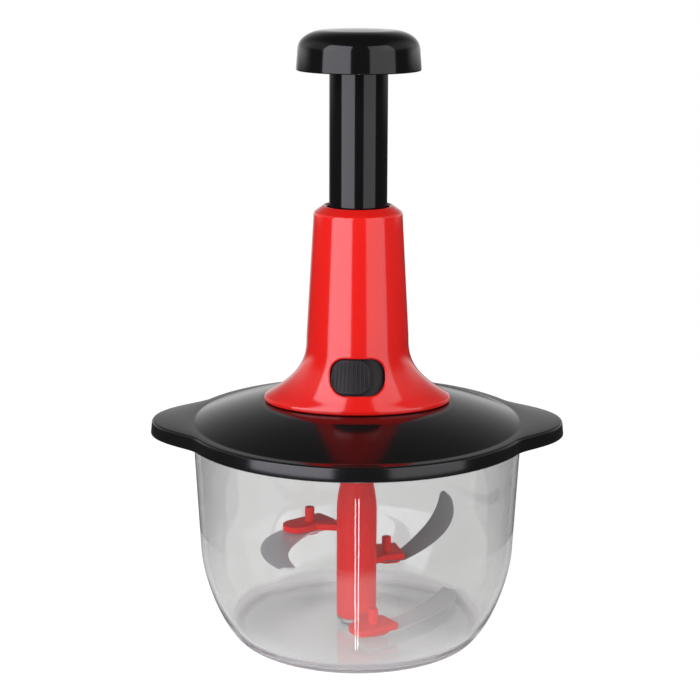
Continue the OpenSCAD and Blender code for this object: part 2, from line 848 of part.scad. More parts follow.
module retainer_screws() {
    seat = lid_under - retainer_flange_t;
    color(steel)
        for (i = [0 : retainer_screw_n - 1])
            rotate([0, 0, front_a + 360 * i / retainer_screw_n])
            translate([retainer_screw_pcr, 0, 0])
            screw(small_screw_r, small_head_r, screw_head_h, seat, plate_top - seat_gap);
}

// A ring of saw teeth that stand up from height z
module saw_teeth(z) {
    width = 2 * PI * tooth_in_r / ratchet_teeth * tooth_share;
    depth = ratchet_r - tooth_in_r - tooth_outset;
    for (i = [0 : ratchet_teeth - 1])
        rotate([0, 0, 360 * i / ratchet_teeth])
        translate([tooth_in_r + depth, -width / 2, z - seat_gap])
        rotate([90, 0, -90])
        linear_extrude(depth)
        polygon([[0, 0], [-width, 0], [-width, tooth_h + seat_gap]]);
}

module drive_nut() {
    slot_h = nut_flange_t + slot_above_flange;
    color(grey)
    difference() {
        union() {
            rod(bearing_r - running_fit, nut_face, journal_top);
            rod(ratchet_r, nut_face, nut_flange_top);
            translate([0, 0, 2 * nut_face]) rotate([180, 0, 0]) saw_teeth(nut_face);
        }
        strip(nut_face - past, nut_face + slot_h, slide_gap);
        rod(rod_hole_r + slide_gap, nut_face + slot_h - past / 2, journal_top + past);
        ring(bearing_r + past, bearing_r - clip_groove, clip_bottom, clip_bottom + clip_t + seat_gap);
    }
}

module ratchet_hub() {
    color(grey)
    difference() {
        union() {
            rod(hub_r, hub_bottom, hub_face);
            rod(ratchet_r, hub_shoulder, hub_face);
            saw_teeth(hub_face);
        }
        translate([0, 0, hub_bottom - past])
            cylinder(r = hex_r + slide_gap, h = socket_depth + past, $fn = 6);
        rod(rod_bore_r, hub_bottom, hub_face + tooth_h + past);
    }
}

module nut_clip() {
    color(steel)
    difference() {
        ring(clip_r, bearing_r - clip_groove + seat_gap, clip_bottom, clip_bottom + clip_t);
        translate([0, -bearing_r / 2, clip_bottom - past]) cube([2 * clip_r, bearing_r, clip_t + 2 * past]);
    }
}

// Outline of the knob's dome, drawn in by a wall
function knob_line(wall) =
    let (
        side_r = knob_r - knob_lean,
        shoulder_z = knob_top - knob_crown - knob_round,
        bend_w = knob_round_w - wall,
        bend_h = knob_round - wall)
    concat([[knob_r - wall, knob_bottom]],
        [for (i = [0 : knob_steps])
            let (a = 90 * i / knob_steps)
            [side_r - knob_round_w + bend_w * cos(a), shoulder_z + bend_h * sin(a)]],
        [[(side_r - knob_round_w) / 2, knob_top - wall - knob_crown / 4], [0, knob_top - wall]]);

module knob() {
    rib_l = knob_r - knob_wall - tube_r - past - rib_end_gap;
    color(black)
    difference() {
        union() {
            difference() {
                rotate_extrude() polygon(concat(knob_line(0), [[0, knob_bottom]]));
                translate([0, 0, -past])
                    rotate_extrude() polygon(concat(knob_line(knob_wall), [[0, knob_bottom - past]]));
            }
            rod(socket_r, knob_bottom, knob_ceiling);
            for (i = [0 : knob_ribs - 1])
                rotate([0, 0, 360 * i / knob_ribs])
                translate([tube_r + past, -knob_wall / 4, knob_bottom + rib_rise])
                cube([rib_l, knob_wall / 2, knob_h - knob_round - rib_rise - past]);
        }
        rod(tube_r + seat_gap, knob_bottom - past, tube_top + seat_gap);
        for (x = [-knob_screw_x, knob_screw_x])
            translate([x, 0, 0]) rod(screw_r + seat_gap, knob_bottom, screw_hole_top);
    }
    color(black)
    difference() {
        rod(anchor_r, anchor_top, tube_top + past);
        for (x = [-knob_screw_x, knob_screw_x])
            translate([x, 0, 0]) rod(screw_r + seat_gap, anchor_top - past, screw_hole_top);
    }
}

module plunger_tube() {
    groove_z = lock_z + stroke;
    groove_half_h = tongue_t / 2 + groove_gap;
    groove_half_a = lock_travel / 2 + groove_a + groove_ease_a;
    tongue_a = front_a + button_a;
    color(black)
    difference() {
        union() {
            ring(tube_r, tube_in_r, tube_bottom, tube_top);
            ring(collar_r, tube_in_r, tube_bottom, collar_top);
        }
        for (a = [0, 180])
            rotate([0, 0, a])
            translate([sleeve_in_r - key_depth - slide_gap, -key_w / 2 - slide_gap, tube_bottom - past])
            cube([key_depth + past, key_w + 2 * slide_gap, collar_h + 2 * past]);
        sector(sleeve_in_r, tube_in_r - past, tube_bottom - past, groove_z, tongue_a, groove_a);
        sector(sleeve_in_r, tube_in_r - past, groove_z - groove_half_h, groove_z + groove_half_h,
            tongue_a + lock_travel / 2, groove_half_a);
    }
}

module rod_anchor() {
    head_seat = anchor_bottom + screw_head_h;
    color(grey)
    difference() {
        rod(anchor_r, anchor_bottom, anchor_top);
        rod(rod_hole_r, anchor_bottom - past, rod_top + seat_gap);
        translate([0, 0, pin_z]) rotate([90, 0, 0]) rod(cross_pin_r + seat_gap, -tube_r, tube_r);
        for (x = [-knob_screw_x, knob_screw_x])
            translate([x, 0, 0]) {
                rod(screw_r + seat_gap, anchor_bottom, anchor_top + past);
                rod(small_head_r + seat_gap, anchor_bottom - past, head_seat);
            }
    }
}

module anchor_pin() {
    half = anchor_r - pin_inset;
    color(steel) translate([0, 0, pin_z]) rotate([90, 0, 0]) rod(cross_pin_r, -half, half);
}

module knob_screws() {
    color(steel)
        for (x = [-knob_screw_x, knob_screw_x])
            translate([x, 0, 0])
            screw(screw_r, small_head_r, screw_head_h, anchor_bottom + screw_head_h,
                screw_hole_top - past);
}

module twisted_rod() {
    color(steel)
    difference() {
        strip(rod_bottom, rod_top, 0);
        translate([0, 0, pin_z]) rotate([90, 0, 0]) rod(cross_pin_r + seat_gap, -tube_r, tube_r);
    }
}

// A turned solid whose face follows the housing, from height lock_z - half to lock_z + half
module button_body(half, extra) {
    steps = 6;
    face = [for (i = [0 : steps])
        let (z = lock_z - half + 2 * half * i / steps)
        [flare_radius(flange_ry, z) - button_sink - rib_depth + extra, z]];
    rotate_extrude()
        polygon(concat([[slider_mid_r, lock_z - half]], face, [[slider_mid_r, lock_z + half]]));
}

module button_outline() {
    translate([button_left + button_round, lock_z - button_half_h])
        square([button_w - 2 * button_round, 2 * button_half_h]);
    translate([button_left, lock_z - button_half_h + button_round])
        square([button_w, 2 * (button_half_h - button_round)]);
    for (x = [button_left + button_round, button_left + button_w - button_round], side = [-1, 1])
        translate([x, lock_z + side * (button_half_h - button_round)]) circle(r = button_round);
}

// Rib i of the button, as tall as the round corners leave room for
module button_rib(i) {
    a = rib_pitch_a * (i - (button_ribs - 1) / 2);
    in_corner = max(0, abs(button_foot_r * sin(a)) - button_w / 2 + button_round);
    half = button_half_h - button_round + sqrt(pow(button_round, 2) - pow(in_corner, 2)) - rib_depth;
    intersection() {
        button_body(half, rib_depth);
        rotate([0, 0, button_a + a])
            translate([-rib_depth, -window_y, lock_z - window_h])
            cube([2 * rib_depth, window_y, 2 * window_h]);
    }
}

module lock_slider() {
    flange_half_a = window_half_a + slider_side_a + lock_travel / 2;
    tongue_a = front_a + button_a;
    color(grey) {
        sector(slider_out_r, slider_in_r, lock_z - slider_half_h, lock_z + slider_half_h,
            front_a - lock_travel / 2, flange_half_a);
        intersection() {
            button_body(button_half_h, 0);
            rotate([90, 0, 0]) linear_extrude(window_y) button_outline();
        }
        for (i = [0 : button_ribs - 1]) button_rib(i);
        rotate([0, 0, tongue_a])
            translate([tongue_in_r, -tongue_w / 2, lock_z - tongue_t / 2])
            cube([slider_mid_r - tongue_in_r, tongue_w, tongue_t]);
    }
}

bowl();
spindle_pin();
blade_shaft();
foot_bush();
bottom_blade();
middle_blade();
top_blade();
lid();
lid_seal();
housing_shell();
guide_sleeve();
bearing_plate();
housing_screws();
spring_cup();
return_spring();
thrust_washer();
drive_retainer();
spring_washer();
retainer_screws();
drive_nut();
ratchet_hub();
nut_clip();
knob();
plunger_tube();
rod_anchor();
anchor_pin();
knob_screws();
twisted_rod();
lock_slider();
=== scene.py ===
import math

import bmesh
import bpy
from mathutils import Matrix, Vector


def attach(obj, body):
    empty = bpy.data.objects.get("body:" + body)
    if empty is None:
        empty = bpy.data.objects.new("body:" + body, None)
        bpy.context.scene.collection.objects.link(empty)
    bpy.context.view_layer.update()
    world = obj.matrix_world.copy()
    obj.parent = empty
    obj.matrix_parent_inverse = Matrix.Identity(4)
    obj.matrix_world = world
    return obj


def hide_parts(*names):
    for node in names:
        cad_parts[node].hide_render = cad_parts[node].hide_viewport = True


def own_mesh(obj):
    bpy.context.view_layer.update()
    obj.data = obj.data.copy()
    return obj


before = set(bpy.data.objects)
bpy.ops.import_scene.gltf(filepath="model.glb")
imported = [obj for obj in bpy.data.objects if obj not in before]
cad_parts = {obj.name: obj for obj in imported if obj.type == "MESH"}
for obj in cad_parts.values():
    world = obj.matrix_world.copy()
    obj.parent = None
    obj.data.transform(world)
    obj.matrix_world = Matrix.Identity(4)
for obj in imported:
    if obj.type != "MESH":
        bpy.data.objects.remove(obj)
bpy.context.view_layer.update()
print("frame loaded,", len(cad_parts), "nodes")

mm = 0.001
front = -90.0  # direction of the lock slider, seen from above


# node graphs: sums on wires add their Math nodes

class Wire:
    def __init__(self, graph, socket):
        self.graph, self.socket = graph, socket

    def __add__(self, other):
        return self.graph.maths("ADD", self, other)

    def __mul__(self, other):
        return self.graph.maths("MULTIPLY", self, other)

    def __sub__(self, other):
        return self.graph.maths("SUBTRACT", self, other)

    def __rsub__(self, other):
        return self.graph.maths("SUBTRACT", other, self)

    def __truediv__(self, other):
        return self.graph.maths("DIVIDE", self, other)

    def __pow__(self, other):
        return self.graph.maths("POWER", self, other)

    def __abs__(self):
        return self.graph.maths("ABSOLUTE", self)

    __radd__ = __add__
    __rmul__ = __mul__


class Graph:
    def __init__(self, tree):
        self.tree = tree
        tree.nodes.clear()

    def node(self, kind, settings=None, sockets=None, out=0):
        made = self.tree.nodes.new(kind)
        for key, value in (settings or {}).items():
            setattr(made, key, value)
        for key, value in (sockets or {}).items():
            if isinstance(value, Wire):
                self.tree.links.new(value.socket, made.inputs[key])
            else:
                made.inputs[key].default_value = value
        return Wire(self, made.outputs[out]) if len(made.outputs) else None

    def maths(self, operation, first, second=0.0):
        return self.node("ShaderNodeMath", {"operation": operation}, {0: first, 1: second})

    def vector(self, x=0.0, y=0.0, z=0.0):
        return self.node("ShaderNodeCombineXYZ", None, {0: x, 1: y, 2: z})

    def split(self, vector):
        return [Wire(self, s) for s in self.node("ShaderNodeSeparateXYZ", None, {0: vector}).socket.node.outputs]


class Paint(Graph):
    def mixColour(self, amount, first, second):
        return self.node("ShaderNodeMix", {"data_type": "RGBA"}, {0: amount, 6: first, 7: second}, out=2)

    def rays(self, *kinds):
        seen = self.node("ShaderNodeLightPath").socket.node.outputs
        return [Wire(self, seen["Is %s Ray" % kind]) for kind in kinds]

    def fade(self, value, start, end, first, last):
        return self.node("ShaderNodeMapRange", {"interpolation_type": "SMOOTHSTEP"}, {
            "Value": value, "From Min": start, "From Max": end, "To Min": first, "To Max": last})

    def output(self, shader, kind="ShaderNodeOutputMaterial"):
        self.node(kind, None, {"Surface": shader})


def newMaterial(name):
    material = bpy.data.materials.new(name)
    material.use_nodes = True
    return material, Paint(material.node_tree)


def mouldedPlastic(name, look):
    material, paint = newMaterial(name)
    spot = paint.node("ShaderNodeTexCoord", out="Object")
    cloud = paint.node("ShaderNodeTexNoise", None, {"Vector": spot, "Scale": look["cloud"], "Detail": 3.0})
    grain = paint.node("ShaderNodeTexNoise", None, {"Vector": spot, "Scale": look["grain"], "Detail": 2.0})
    rise = paint.node("ShaderNodeBump", None,
                      {"Strength": look["bump"], "Distance": 0.0001, "Height": grain}, out="Normal")
    shader = paint.node("ShaderNodeBsdfPrincipled", None, {
        "Base Color": paint.mixColour(cloud, (*look["low"], 1), (*look["high"], 1)),
        "Roughness": (cloud - 0.5) * look["uneven"] + look["rough"],
        "IOR": look["ior"], "Coat Weight": look["coat"], "Coat Roughness": look["coatRough"],
        "Normal": rise})
    paint.output(shader)
    return material


brushed = {"cloud": 60.0, "uneven": 0.1, "streaks": 0.16}


def groundSteel(name, look):
    material, paint = newMaterial(name)
    spot = paint.node("ShaderNodeTexCoord", out="Object")
    along = paint.node("ShaderNodeMapping", None, {"Vector": spot, "Scale": look["stretch"]})
    lines = paint.node("ShaderNodeTexNoise", None, {"Vector": along, "Scale": 1.0, "Detail": 4.0})
    cloud = paint.node("ShaderNodeTexNoise", None, {"Vector": spot, "Scale": brushed["cloud"], "Detail": 2.0})
    rise = paint.node("ShaderNodeBump", None,
                      {"Strength": look["bump"], "Distance": 0.0001, "Height": lines}, out="Normal")
    shader = paint.node("ShaderNodeBsdfPrincipled", None, {
        "Base Color": paint.mixColour(lines, (*look["low"], 1), (*look["high"], 1)),
        "Metallic": look["metal"],
        "Roughness": (cloud - 0.5) * brushed["uneven"] + (lines - 0.5) * brushed["streaks"] + look["rough"],
        "Normal": rise})
    paint.output(shader)
    return material


def clearPlastic(name, look):
    material, paint = newMaterial(name)
    spot = paint.node("ShaderNodeTexCoord", out="Object")
    haze = paint.node("ShaderNodeTexNoise", None, {"Vector": spot, "Scale": look["haze"], "Detail": 3.0})
    side, deep, high = paint.split(spot)
    # the base colour darkens towards black where the wall is seen edge on, above a set height: partly the longer path
    # through the plastic, partly painted shade on the upper walls
    edge = paint.node("ShaderNodeLayerWeight", None, {"Blend": 0.5}, out="Facing")  # the wall seen edge on
    edge = edge - paint.fade(high, look["rimLow"], look["rimHigh"], look["lowStart"], look["highStart"])
    rim = paint.fade(edge, 0.0, look["stepW"], 0.0, look["edgeShadeStep"])
    rim = rim + paint.fade(edge, 0.0, look["rimW"], 0.0, look["edgeShadeDepth"])
    rim = rim * paint.fade(high, look["rimLow"] * 0.4, look["rimLow"], 0.0, 1.0)
    shader = paint.node("ShaderNodeBsdfPrincipled", None, {
        "Base Color": paint.mixColour(rim, (*look["tint"], 1), (0, 0, 0, 1)), "Roughness": haze * look["rough"],
        "IOR": look["ior"], "Transmission Weight": 1.0})
    reach = (side * side + deep * deep) ** 0.5
    low = paint.fade(high, look["milkTop"], look["milkTop"] * 2, 1.0, 0.0)
    ring = paint.fade(abs(reach - look["ringR"]), look["ringW"] * 0.4, look["ringW"], 1.0, 0.0)
    inside = paint.fade(reach, look["ringR"] - look["ringW"], look["ringR"], 1.0, 0.0)
    milk = paint.node("ShaderNodeBsdfDiffuse", None, {"Color": (*look["milk"], 1)})
    clouded = paint.node("ShaderNodeMixShader", None, {
        0: low * (ring * look["ringMilk"] + inside * look["floorMilk"]), 1: shader, 2: milk})
    through = paint.maths("MAXIMUM", *paint.rays("Shadow", "Diffuse"))
    bare = paint.node("ShaderNodeBsdfTransparent", None, {"Color": (*look["shade"], 1)})
    paint.output(paint.node("ShaderNodeMixShader", None, {0: through, 1: clouded, 2: bare}))
    return material


looks = {
    "towerRed": {"low": (0.68, 0.011, 0.008), "high": (0.73, 0.014, 0.010), "cloud": 30.0, "grain": 1400.0,
                 "rough": 0.13, "uneven": 0.04, "bump": 0.03, "ior": 1.5, "coat": 0.25, "coatRough": 0.05},
    # painted light: the shaft's red is set lighter than the tower's same red plastic, to make up for light lost
    # through the bowl
    "litShaftRed": {"low": (0.86, 0.015, 0.012), "high": (0.92, 0.019, 0.015), "cloud": 45.0, "grain": 1800.0,
                 "rough": 0.50, "uneven": 0.06, "bump": 0.05, "ior": 1.2, "coat": 0.0, "coatRough": 0.1},
    "lidBlack": {"low": (0.0045, 0.0045, 0.0045), "high": (0.0065, 0.0065, 0.0068), "cloud": 26.0, "grain": 2200.0,
                 "rough": 0.15, "uneven": 0.05, "bump": 0.04, "ior": 1.5, "coat": 0.0, "coatRough": 0.1},
    "knobBlack": {"low": (0.0035, 0.0035, 0.0035), "high": (0.0052, 0.0052, 0.0055), "cloud": 30.0, "grain": 1800.0,
                  "rough": 0.10, "uneven": 0.04, "bump": 0.02, "ior": 1.43, "coat": 0.0, "coatRough": 0.1},
    "sliderGrey": {"low": (0.015, 0.013, 0.014), "high": (0.021, 0.018, 0.019), "cloud": 120.0, "grain": 3000.0,
                   "rough": 0.46, "uneven": 0.08, "bump": 0.25, "ior": 1.3, "coat": 0.0, "coatRough": 0.1},
    "driveGrey": {"low": (0.075, 0.075, 0.078), "high": (0.10, 0.10, 0.104), "cloud": 60.0, "grain": 2400.0,
                  "rough": 0.42, "uneven": 0.08, "bump": 0.15, "ior": 1.48, "coat": 0.0, "coatRough": 0.1},
    "sealGrey": {"low": (0.16, 0.16, 0.163), "high": (0.20, 0.20, 0.203), "cloud": 80.0, "grain": 1500.0,
                 "rough": 0.6, "uneven": 0.08, "bump": 0.1, "ior": 1.41, "coat": 0.0, "coatRough": 0.1},
}
plastics = {name: mouldedPlastic(name, look) for name, look in looks.items()}
steels = {
    "bladeSteel": {"low": (0.68, 0.695, 0.69), "high": (0.78, 0.79, 0.785), "metal": 0.30, "rough": 0.42,
                   "bump": 0.08, "stretch": (260.0, 2600.0, 2600.0)},
    # painted shade: a darker copy of the blade steel for the middle blade, which stands up and faces away from the
    # light
    "shadedBladeSteel": {"low": (0.34, 0.348, 0.348), "high": (0.40, 0.408, 0.408), "metal": 0.10, "rough": 0.45,
                    "bump": 0.08, "stretch": (260.0, 2600.0, 2600.0)},
    "turnedSteel": {"low": (0.42, 0.42, 0.42), "high": (0.56, 0.56, 0.56), "metal": 1.0, "rough": 0.30,
                    "bump": 0.05, "stretch": (500.0, 500.0, 6000.0)},
}
metals = {name: groundSteel(name, look) for name, look in steels.items()}
bowlLook = {"tint": (0.78, 0.78, 0.775), "shade": (0.98, 0.98, 0.98), "haze": 35.0, "rough": 0.04, "ior": 1.5,
            "milk": (0.80, 0.80, 0.80), "milkTop": 0.007, "ringR": 0.0606, "ringW": 0.0034, "ringMilk": 0.40,
            "floorMilk": 0.10, "edgeShadeStep": 0.2, "stepW": 0.04, "edgeShadeDepth": 0.3, "rimW": 0.49, "rimLow": 0.058,
            "rimHigh": 0.086, "lowStart": 0.48, "highStart": 0.35}
bowlClear = clearPlastic("bowlClear", bowlLook)
print("materials mixed")


# mesh helpers, sizes in millimetres

def meshObject(name, points, faces, sharp=38.0):
    mesh = bpy.data.meshes.new(name)
    mesh.from_pydata([tuple(c * mm for c in p) for p in points], [], faces)
    work = bmesh.new()
    work.from_mesh(mesh)
    bmesh.ops.remove_doubles(work, verts=work.verts, dist=1e-6)
    bmesh.ops.recalc_face_normals(work, faces=work.faces)
    work.to_mesh(mesh)
    work.free()
    piece = bpy.data.objects.new(name, mesh)
    bpy.context.scene.collection.objects.link(piece)
    shadeSoft(mesh, sharp)
    return piece


def shadeSoft(mesh, sharp):
    mesh.shade_smooth()
    mesh.set_sharp_from_angle(angle=math.radians(sharp))


def settle(piece, material, body, slot, *nodes):
    if material is not None:
        piece.data.materials.clear()
        piece.data.materials.append(material)
    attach(piece, body)
    if nodes:
        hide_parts(*nodes)
    return piece


def polishedCopy(node, sharp=34.0):
    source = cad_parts[node].data
    points = [tuple(c / mm for c in v.co) for v in source.vertices]
    return meshObject(node + ".smooth", points, [list(p.vertices) for p in source.polygons], sharp)


def roundedLine(points, radii, steps=6):
    line = []
    for i, point in enumerate(points):
        radius = radii.get(i, 0)
        if not radius:
            line.append(tuple(point))
            continue
        before, here, after = (Vector(points[k]) for k in (i - 1, i, i + 1))
        u, v = (before - here).normalized(), (after - here).normalized()
        half = u.angle(v) / 2
        cut = min(radius / math.tan(half), 0.48 * (before - here).length, 0.48 * (after - here).length)
        centre = here + (u + v).normalized() * cut / math.cos(half)
        first, last = here + u * cut - centre, here + v * cut - centre
        sweep = first.angle(last)
        for k in range(steps + 1):
            t = k / steps
            arm = (math.sin((1 - t) * sweep) * first + math.sin(t * sweep) * last) / math.sin(sweep)
            line.append(tuple(centre + arm))
    return line


def lathe(name, line, sides=192, loop=False, sharp=38.0):
    points, rows, faces = [], [], []
    for r, z in line:
        if r < 1e-6:
            rows.append([len(points)])
            points.append((0, 0, z))
            continue
        rows.append(list(range(len(points), len(points) + sides)))
        points += [(r * math.cos(math.tau * k / sides), r * math.sin(math.tau * k / sides), z) for k in range(sides)]
    pairs = list(zip(rows, rows[1:])) + ([(rows[-1], rows[0])] if loop else [])
    for low, high in pairs:
        for k in range(sides):
            n = (k + 1) % sides
            quad = [low[k % len(low)], low[n % len(low)], high[n % len(high)], high[k % len(high)]]
            faces.append(list(dict.fromkeys(quad)))
    return meshObject(name, points, faces, sharp)


def loft(name, rings, loop=False, sharp=38.0):
    n = len(rings[0])
    points = [p for ring in rings for p in ring]
    last = (len(rings) - 1) * n
    faces = [[j + i, j + (i + 1) % n, j + n + (i + 1) % n, j + n + i] for j in range(0, last, n) for i in range(n)]
    if loop:
        faces += [[last + i, last + (i + 1) % n, (i + 1) % n, i] for i in range(n)]
    else:
        faces += [list(range(n)), [last + i for i in range(n)]]
    return meshObject(name, points, faces, sharp)


def turned(x, y, degrees):
    c, s = math.cos(math.radians(degrees)), math.sin(math.radians(degrees))
    return x * c - y * s, x * s + y * c


# Geometry Nodes helpers

class Tree(Graph):
    def __init__(self, name, counts, sizes):
        super().__init__(bpy.data.node_groups.new(name, "GeometryNodeTree"))
        face = self.tree.interface
        face.new_socket("Geometry", in_out="INPUT", socket_type="NodeSocketGeometry")
        self.names = {}
        for labels, kind in ((counts, "NodeSocketInt"), (sizes, "NodeSocketFloat")):
            for label in labels:
                self.names[label] = face.new_socket(label, in_out="INPUT", socket_type=kind).identifier
        face.new_socket("Geometry", in_out="OUTPUT", socket_type="NodeSocketGeometry")
        self.entry = self.tree.nodes.new("NodeGroupInput")

    def given(self, *labels):
        wires = [Wire(self, self.entry.outputs[label]) for label in labels]
        return wires if len(wires) > 1 else wires[0]

    def close(self, geometry, material):
        solid = self.node("GeometryNodeRealizeInstances", None, {"Geometry": geometry})
        dressed = self.node("GeometryNodeSetMaterial", None, {"Geometry": solid, "Material": material})
        self.node("NodeGroupOutput", None, {0: dressed})


def growTree(name, tree, values, seedMesh=None, sharp=38.0):
    holder = bpy.data.objects.new(name, seedMesh or bpy.data.meshes.new(name + ".seed"))
    bpy.context.scene.collection.objects.link(holder)
    modifier = holder.modifiers.new("grow", "NODES")
    modifier.node_group = tree.tree
    for label, value in values.items():
        modifier[tree.names[label]] = value
    depsgraph = bpy.context.evaluated_depsgraph_get()
    mesh = bpy.data.meshes.new_from_object(holder.evaluated_get(depsgraph), depsgraph=depsgraph)
    holder.modifiers.remove(modifier)
    holder.data = mesh
    shadeSoft(mesh, sharp)
    return holder


# bowl

bowl = {"rimR": 81.0, "rimZ": 107.3, "rimRound": 1.0, "wall": 2.6, "lean": math.tan(math.radians(3)), "footR": 59.0,
        "footW": 5.0, "footRound": 0.5, "cornerZ": 44.0, "power": 1.44, "floorZ": 3.5, "floorR": 58.0, "hollow": 1.0,
        "slope": 36.0, "slopeSteps": 16, "bossR": 7.0, "bossZ": 5.9, "bossFoot": 1.2, "bossRound": 0.8, "pinR": 4.0,
        "pinRoom": 0.04, "pinFoot": 2.2, "step": 3.0}


def cornerLine(footR, wallR, bottom, top, power, steps=40):
    line = []
    for i in range(steps + 1):
        z = bottom + (top - bottom) * (1 - math.cos(math.pi / 2 * i / steps))
        share = 1 - (z - bottom) / (top - bottom)
        line.append((footR + (wallR - footR) * (1 - share ** power) ** (1 / power), z))
    return line


def finer(line, step):
    made = line[:1]
    for a, b in zip(line, line[1:]):
        count = max(1, math.ceil(math.dist(a, b) / step))
        made += [(a[0] + (b[0] - a[0]) * k / count, a[1] + (b[1] - a[1]) * k / count) for k in range(1, count + 1)]
    return made


def makeBowl(b):
    wallR = b["rimR"] - (b["rimZ"] - b["cornerZ"]) * b["lean"]
    outside = cornerLine(b["footR"], wallR, 0, b["cornerZ"], b["power"])
    inside = cornerLine(b["floorR"], wallR - b["wall"], b["floorZ"], b["cornerZ"], b["power"])
    rim = roundedLine([outside[-1], (b["rimR"], b["rimZ"]), (b["rimR"] - b["wall"], b["rimZ"]), inside[-1]],
                      {1: b["rimRound"], 2: b["rimRound"]}, 5)
    pinR = b["pinR"] + b["pinRoom"]
    bossTop = roundedLine([(b["floorR"] - 4, b["floorZ"]), (b["bossR"], b["floorZ"]), (b["bossR"], b["bossZ"]),
                           (pinR, b["bossZ"]), (pinR, b["pinFoot"]), (0, b["pinFoot"])],
                          {1: b["bossFoot"], 2: b["bossRound"]}, 4)
    shares = [k / b["slopeSteps"] for k in range(b["slopeSteps"] + 1)]
    ringIn = b["footR"] - b["footW"]
    slope = [(ringIn - b["slope"] * (1 - t), b["hollow"] * (1 - t * t * (3 - 2 * t))) for t in shares]
    corner = roundedLine([slope[-1], (b["footR"], 0), outside[1]], {1: b["footRound"]}, 3)
    foot = [(0, b["hollow"])] + slope + corner[1:]
    line = foot[:-1] + outside[1:-1] + rim + inside[::-1][1:] + bossTop
    return lathe("bowlShell", finer(line, b["step"]), sides=256)


settle(makeBowl(bowl), bowlClear, "bowl", "clear_plastic", "bowl")
settle(polishedCopy("spindle_pin"), metals["turnedSteel"], "bowl", "steel", "spindle_pin")
print("bowl turned")


# lid

lid = {"edgeR": 85.1, "earReach": 16.1, "earHalf": 27.3, "earPower": 2.1, "topZ": 109.8, "footZ": 102.8, "flare": 0.7,
       "wall": 2.2, "border": 2.5, "domeR": 80.1, "domeTop": 119.4, "domeTopR": 46.8, "bulge": 0.8, "skin": 2.4,
       "holeR": 11.4, "plugR": 76.58, "plugFoot": 100.3, "plugWall": 2.2, "plugRound": 0.6, "hollowR": 77.1,
       "valley": 9.0, "valleyEnd": 1.5, "edgeRound": 1.3, "footRound": 0.5, "lip": 1.6, "lipRound": 0.4, "sides": 288}


def lidEdge(a, base):
    fromEar = min(abs(a), abs(180 - abs(a)))
    if fromEar >= lid["earHalf"]:
        return base
    return base + lid["earReach"] * (1 - (fromEar / lid["earHalf"]) ** lid["earPower"]) ** 2


def domeLine(footR, footZ, topZ, steps=22):
    line = []
    for i in range(steps + 1):
        t = i / steps
        line.append((lid["domeTopR"] + (footR - lid["domeTopR"]) * (1 - t),
                     footZ + (topZ - footZ) * t + lid["bulge"] * 4 * t * (1 - t)))
    return line


def makeLid(d):
    top = [(d["holeR"], d["domeTop"])] + domeLine(d["domeR"], d["topZ"], d["domeTop"])[:0:-1]
    valley = roundedLine([top[-1], (d["domeR"], d["topZ"]), (d["edgeR"] - d["valleyEnd"], d["topZ"])],
                         {1: d["valley"]}, 8)[1:-1]
    under = [(d["holeR"], d["skinZ"])] + domeLine(d["hollowR"], d["rimZ"], d["skinZ"])[::-1]
    plugIn = d["plugR"] - d["plugWall"]
    plug = roundedLine([under[-1], (plugIn, d["rimZ"]), (plugIn, d["plugFoot"]),
                        (d["plugR"], d["plugFoot"]), (d["plugR"], d["rimZ"])],
                       {2: d["plugRound"], 3: d["plugRound"]}, 3)
    edge = roundedLine([(-4, d["topZ"]), (0, d["topZ"]), (d["flare"], d["footZ"]),
                        (d["flare"] - d["lip"], d["footZ"]), (-d["wall"], d["rimZ"]), (-6, d["rimZ"])],
                       {1: d["edgeRound"], 2: d["footRound"], 3: d["lipRound"]}, 5)
    rings = []
    for k in range(d["sides"]):
        a = 360 * k / d["sides"] - 180
        reach = lidEdge(a, d["edgeR"])
        c, s = math.cos(math.radians(a)), math.sin(math.radians(a))
        turn = math.radians(2)
        ahead, behind = lidEdge(a + 2, d["edgeR"]), lidEdge(a - 2, d["edgeR"])
        slope = (ahead - behind) / (2 * turn * reach)  # how far the edge leans off the circle
        nx, ny = c + slope * s, s - slope * c
        size = math.hypot(nx, ny)
        nx, ny = nx / size, ny / size
        line = [(r * c, r * s, z) for r, z in top + valley]
        line += [(reach * c + off * nx, reach * s + off * ny, z) for off, z in edge[1:-1]]
        line += [(r * c, r * s, z) for r, z in plug[::-1][:-1] + under[::-1]]
        rings.append(line)
    return loft("lidShell", rings, loop=True)


lid["rimZ"] = lid["topZ"] - lid["border"]
lid["skinZ"] = lid["domeTop"] - lid["skin"]
settle(makeLid(lid), plastics["lidBlack"], "lid", "black_plastic", "lid")
settle(polishedCopy("lid_seal"), plastics["sealGrey"], "lid", "seal_rubber", "lid_seal")
print("lid made")


# housing tower with its window

tower = {"footZ": 119.6, "flangeX": 45.8, "flangeY": 32.6, "flareFoot": 122.0, "flareTop": 152.0, "power": 2.7,
         "waistR": 24.9, "crownR": 21.4, "crownZ": 212.8, "topZ": 216.2, "mouthR": 15.2, "wall": 1.7,
         "flangeIn": 2.4, "flangeDrop": 0.2, "flangeFoot": 1.1, "flangeTop": 1.4, "lift": 1.6, "crownRound": 2.2,
         "mouthIn": 1.3, "mouthDrop": 1.0, "mouthRound": 0.8, "mouthDeep": 4.0, "highRows": 12, "highPower": 1.4,
         "windowW": 27.0, "windowH": 17.0, "windowRound": 7.6, "windowZ": 137.0, "edgeRound": 0.8, "edgeReach": 1.6,
         "columns": 192, "patchColumns": 22, "patchLow": 125.5, "patchHigh": 149.0, "patchRows": 22}


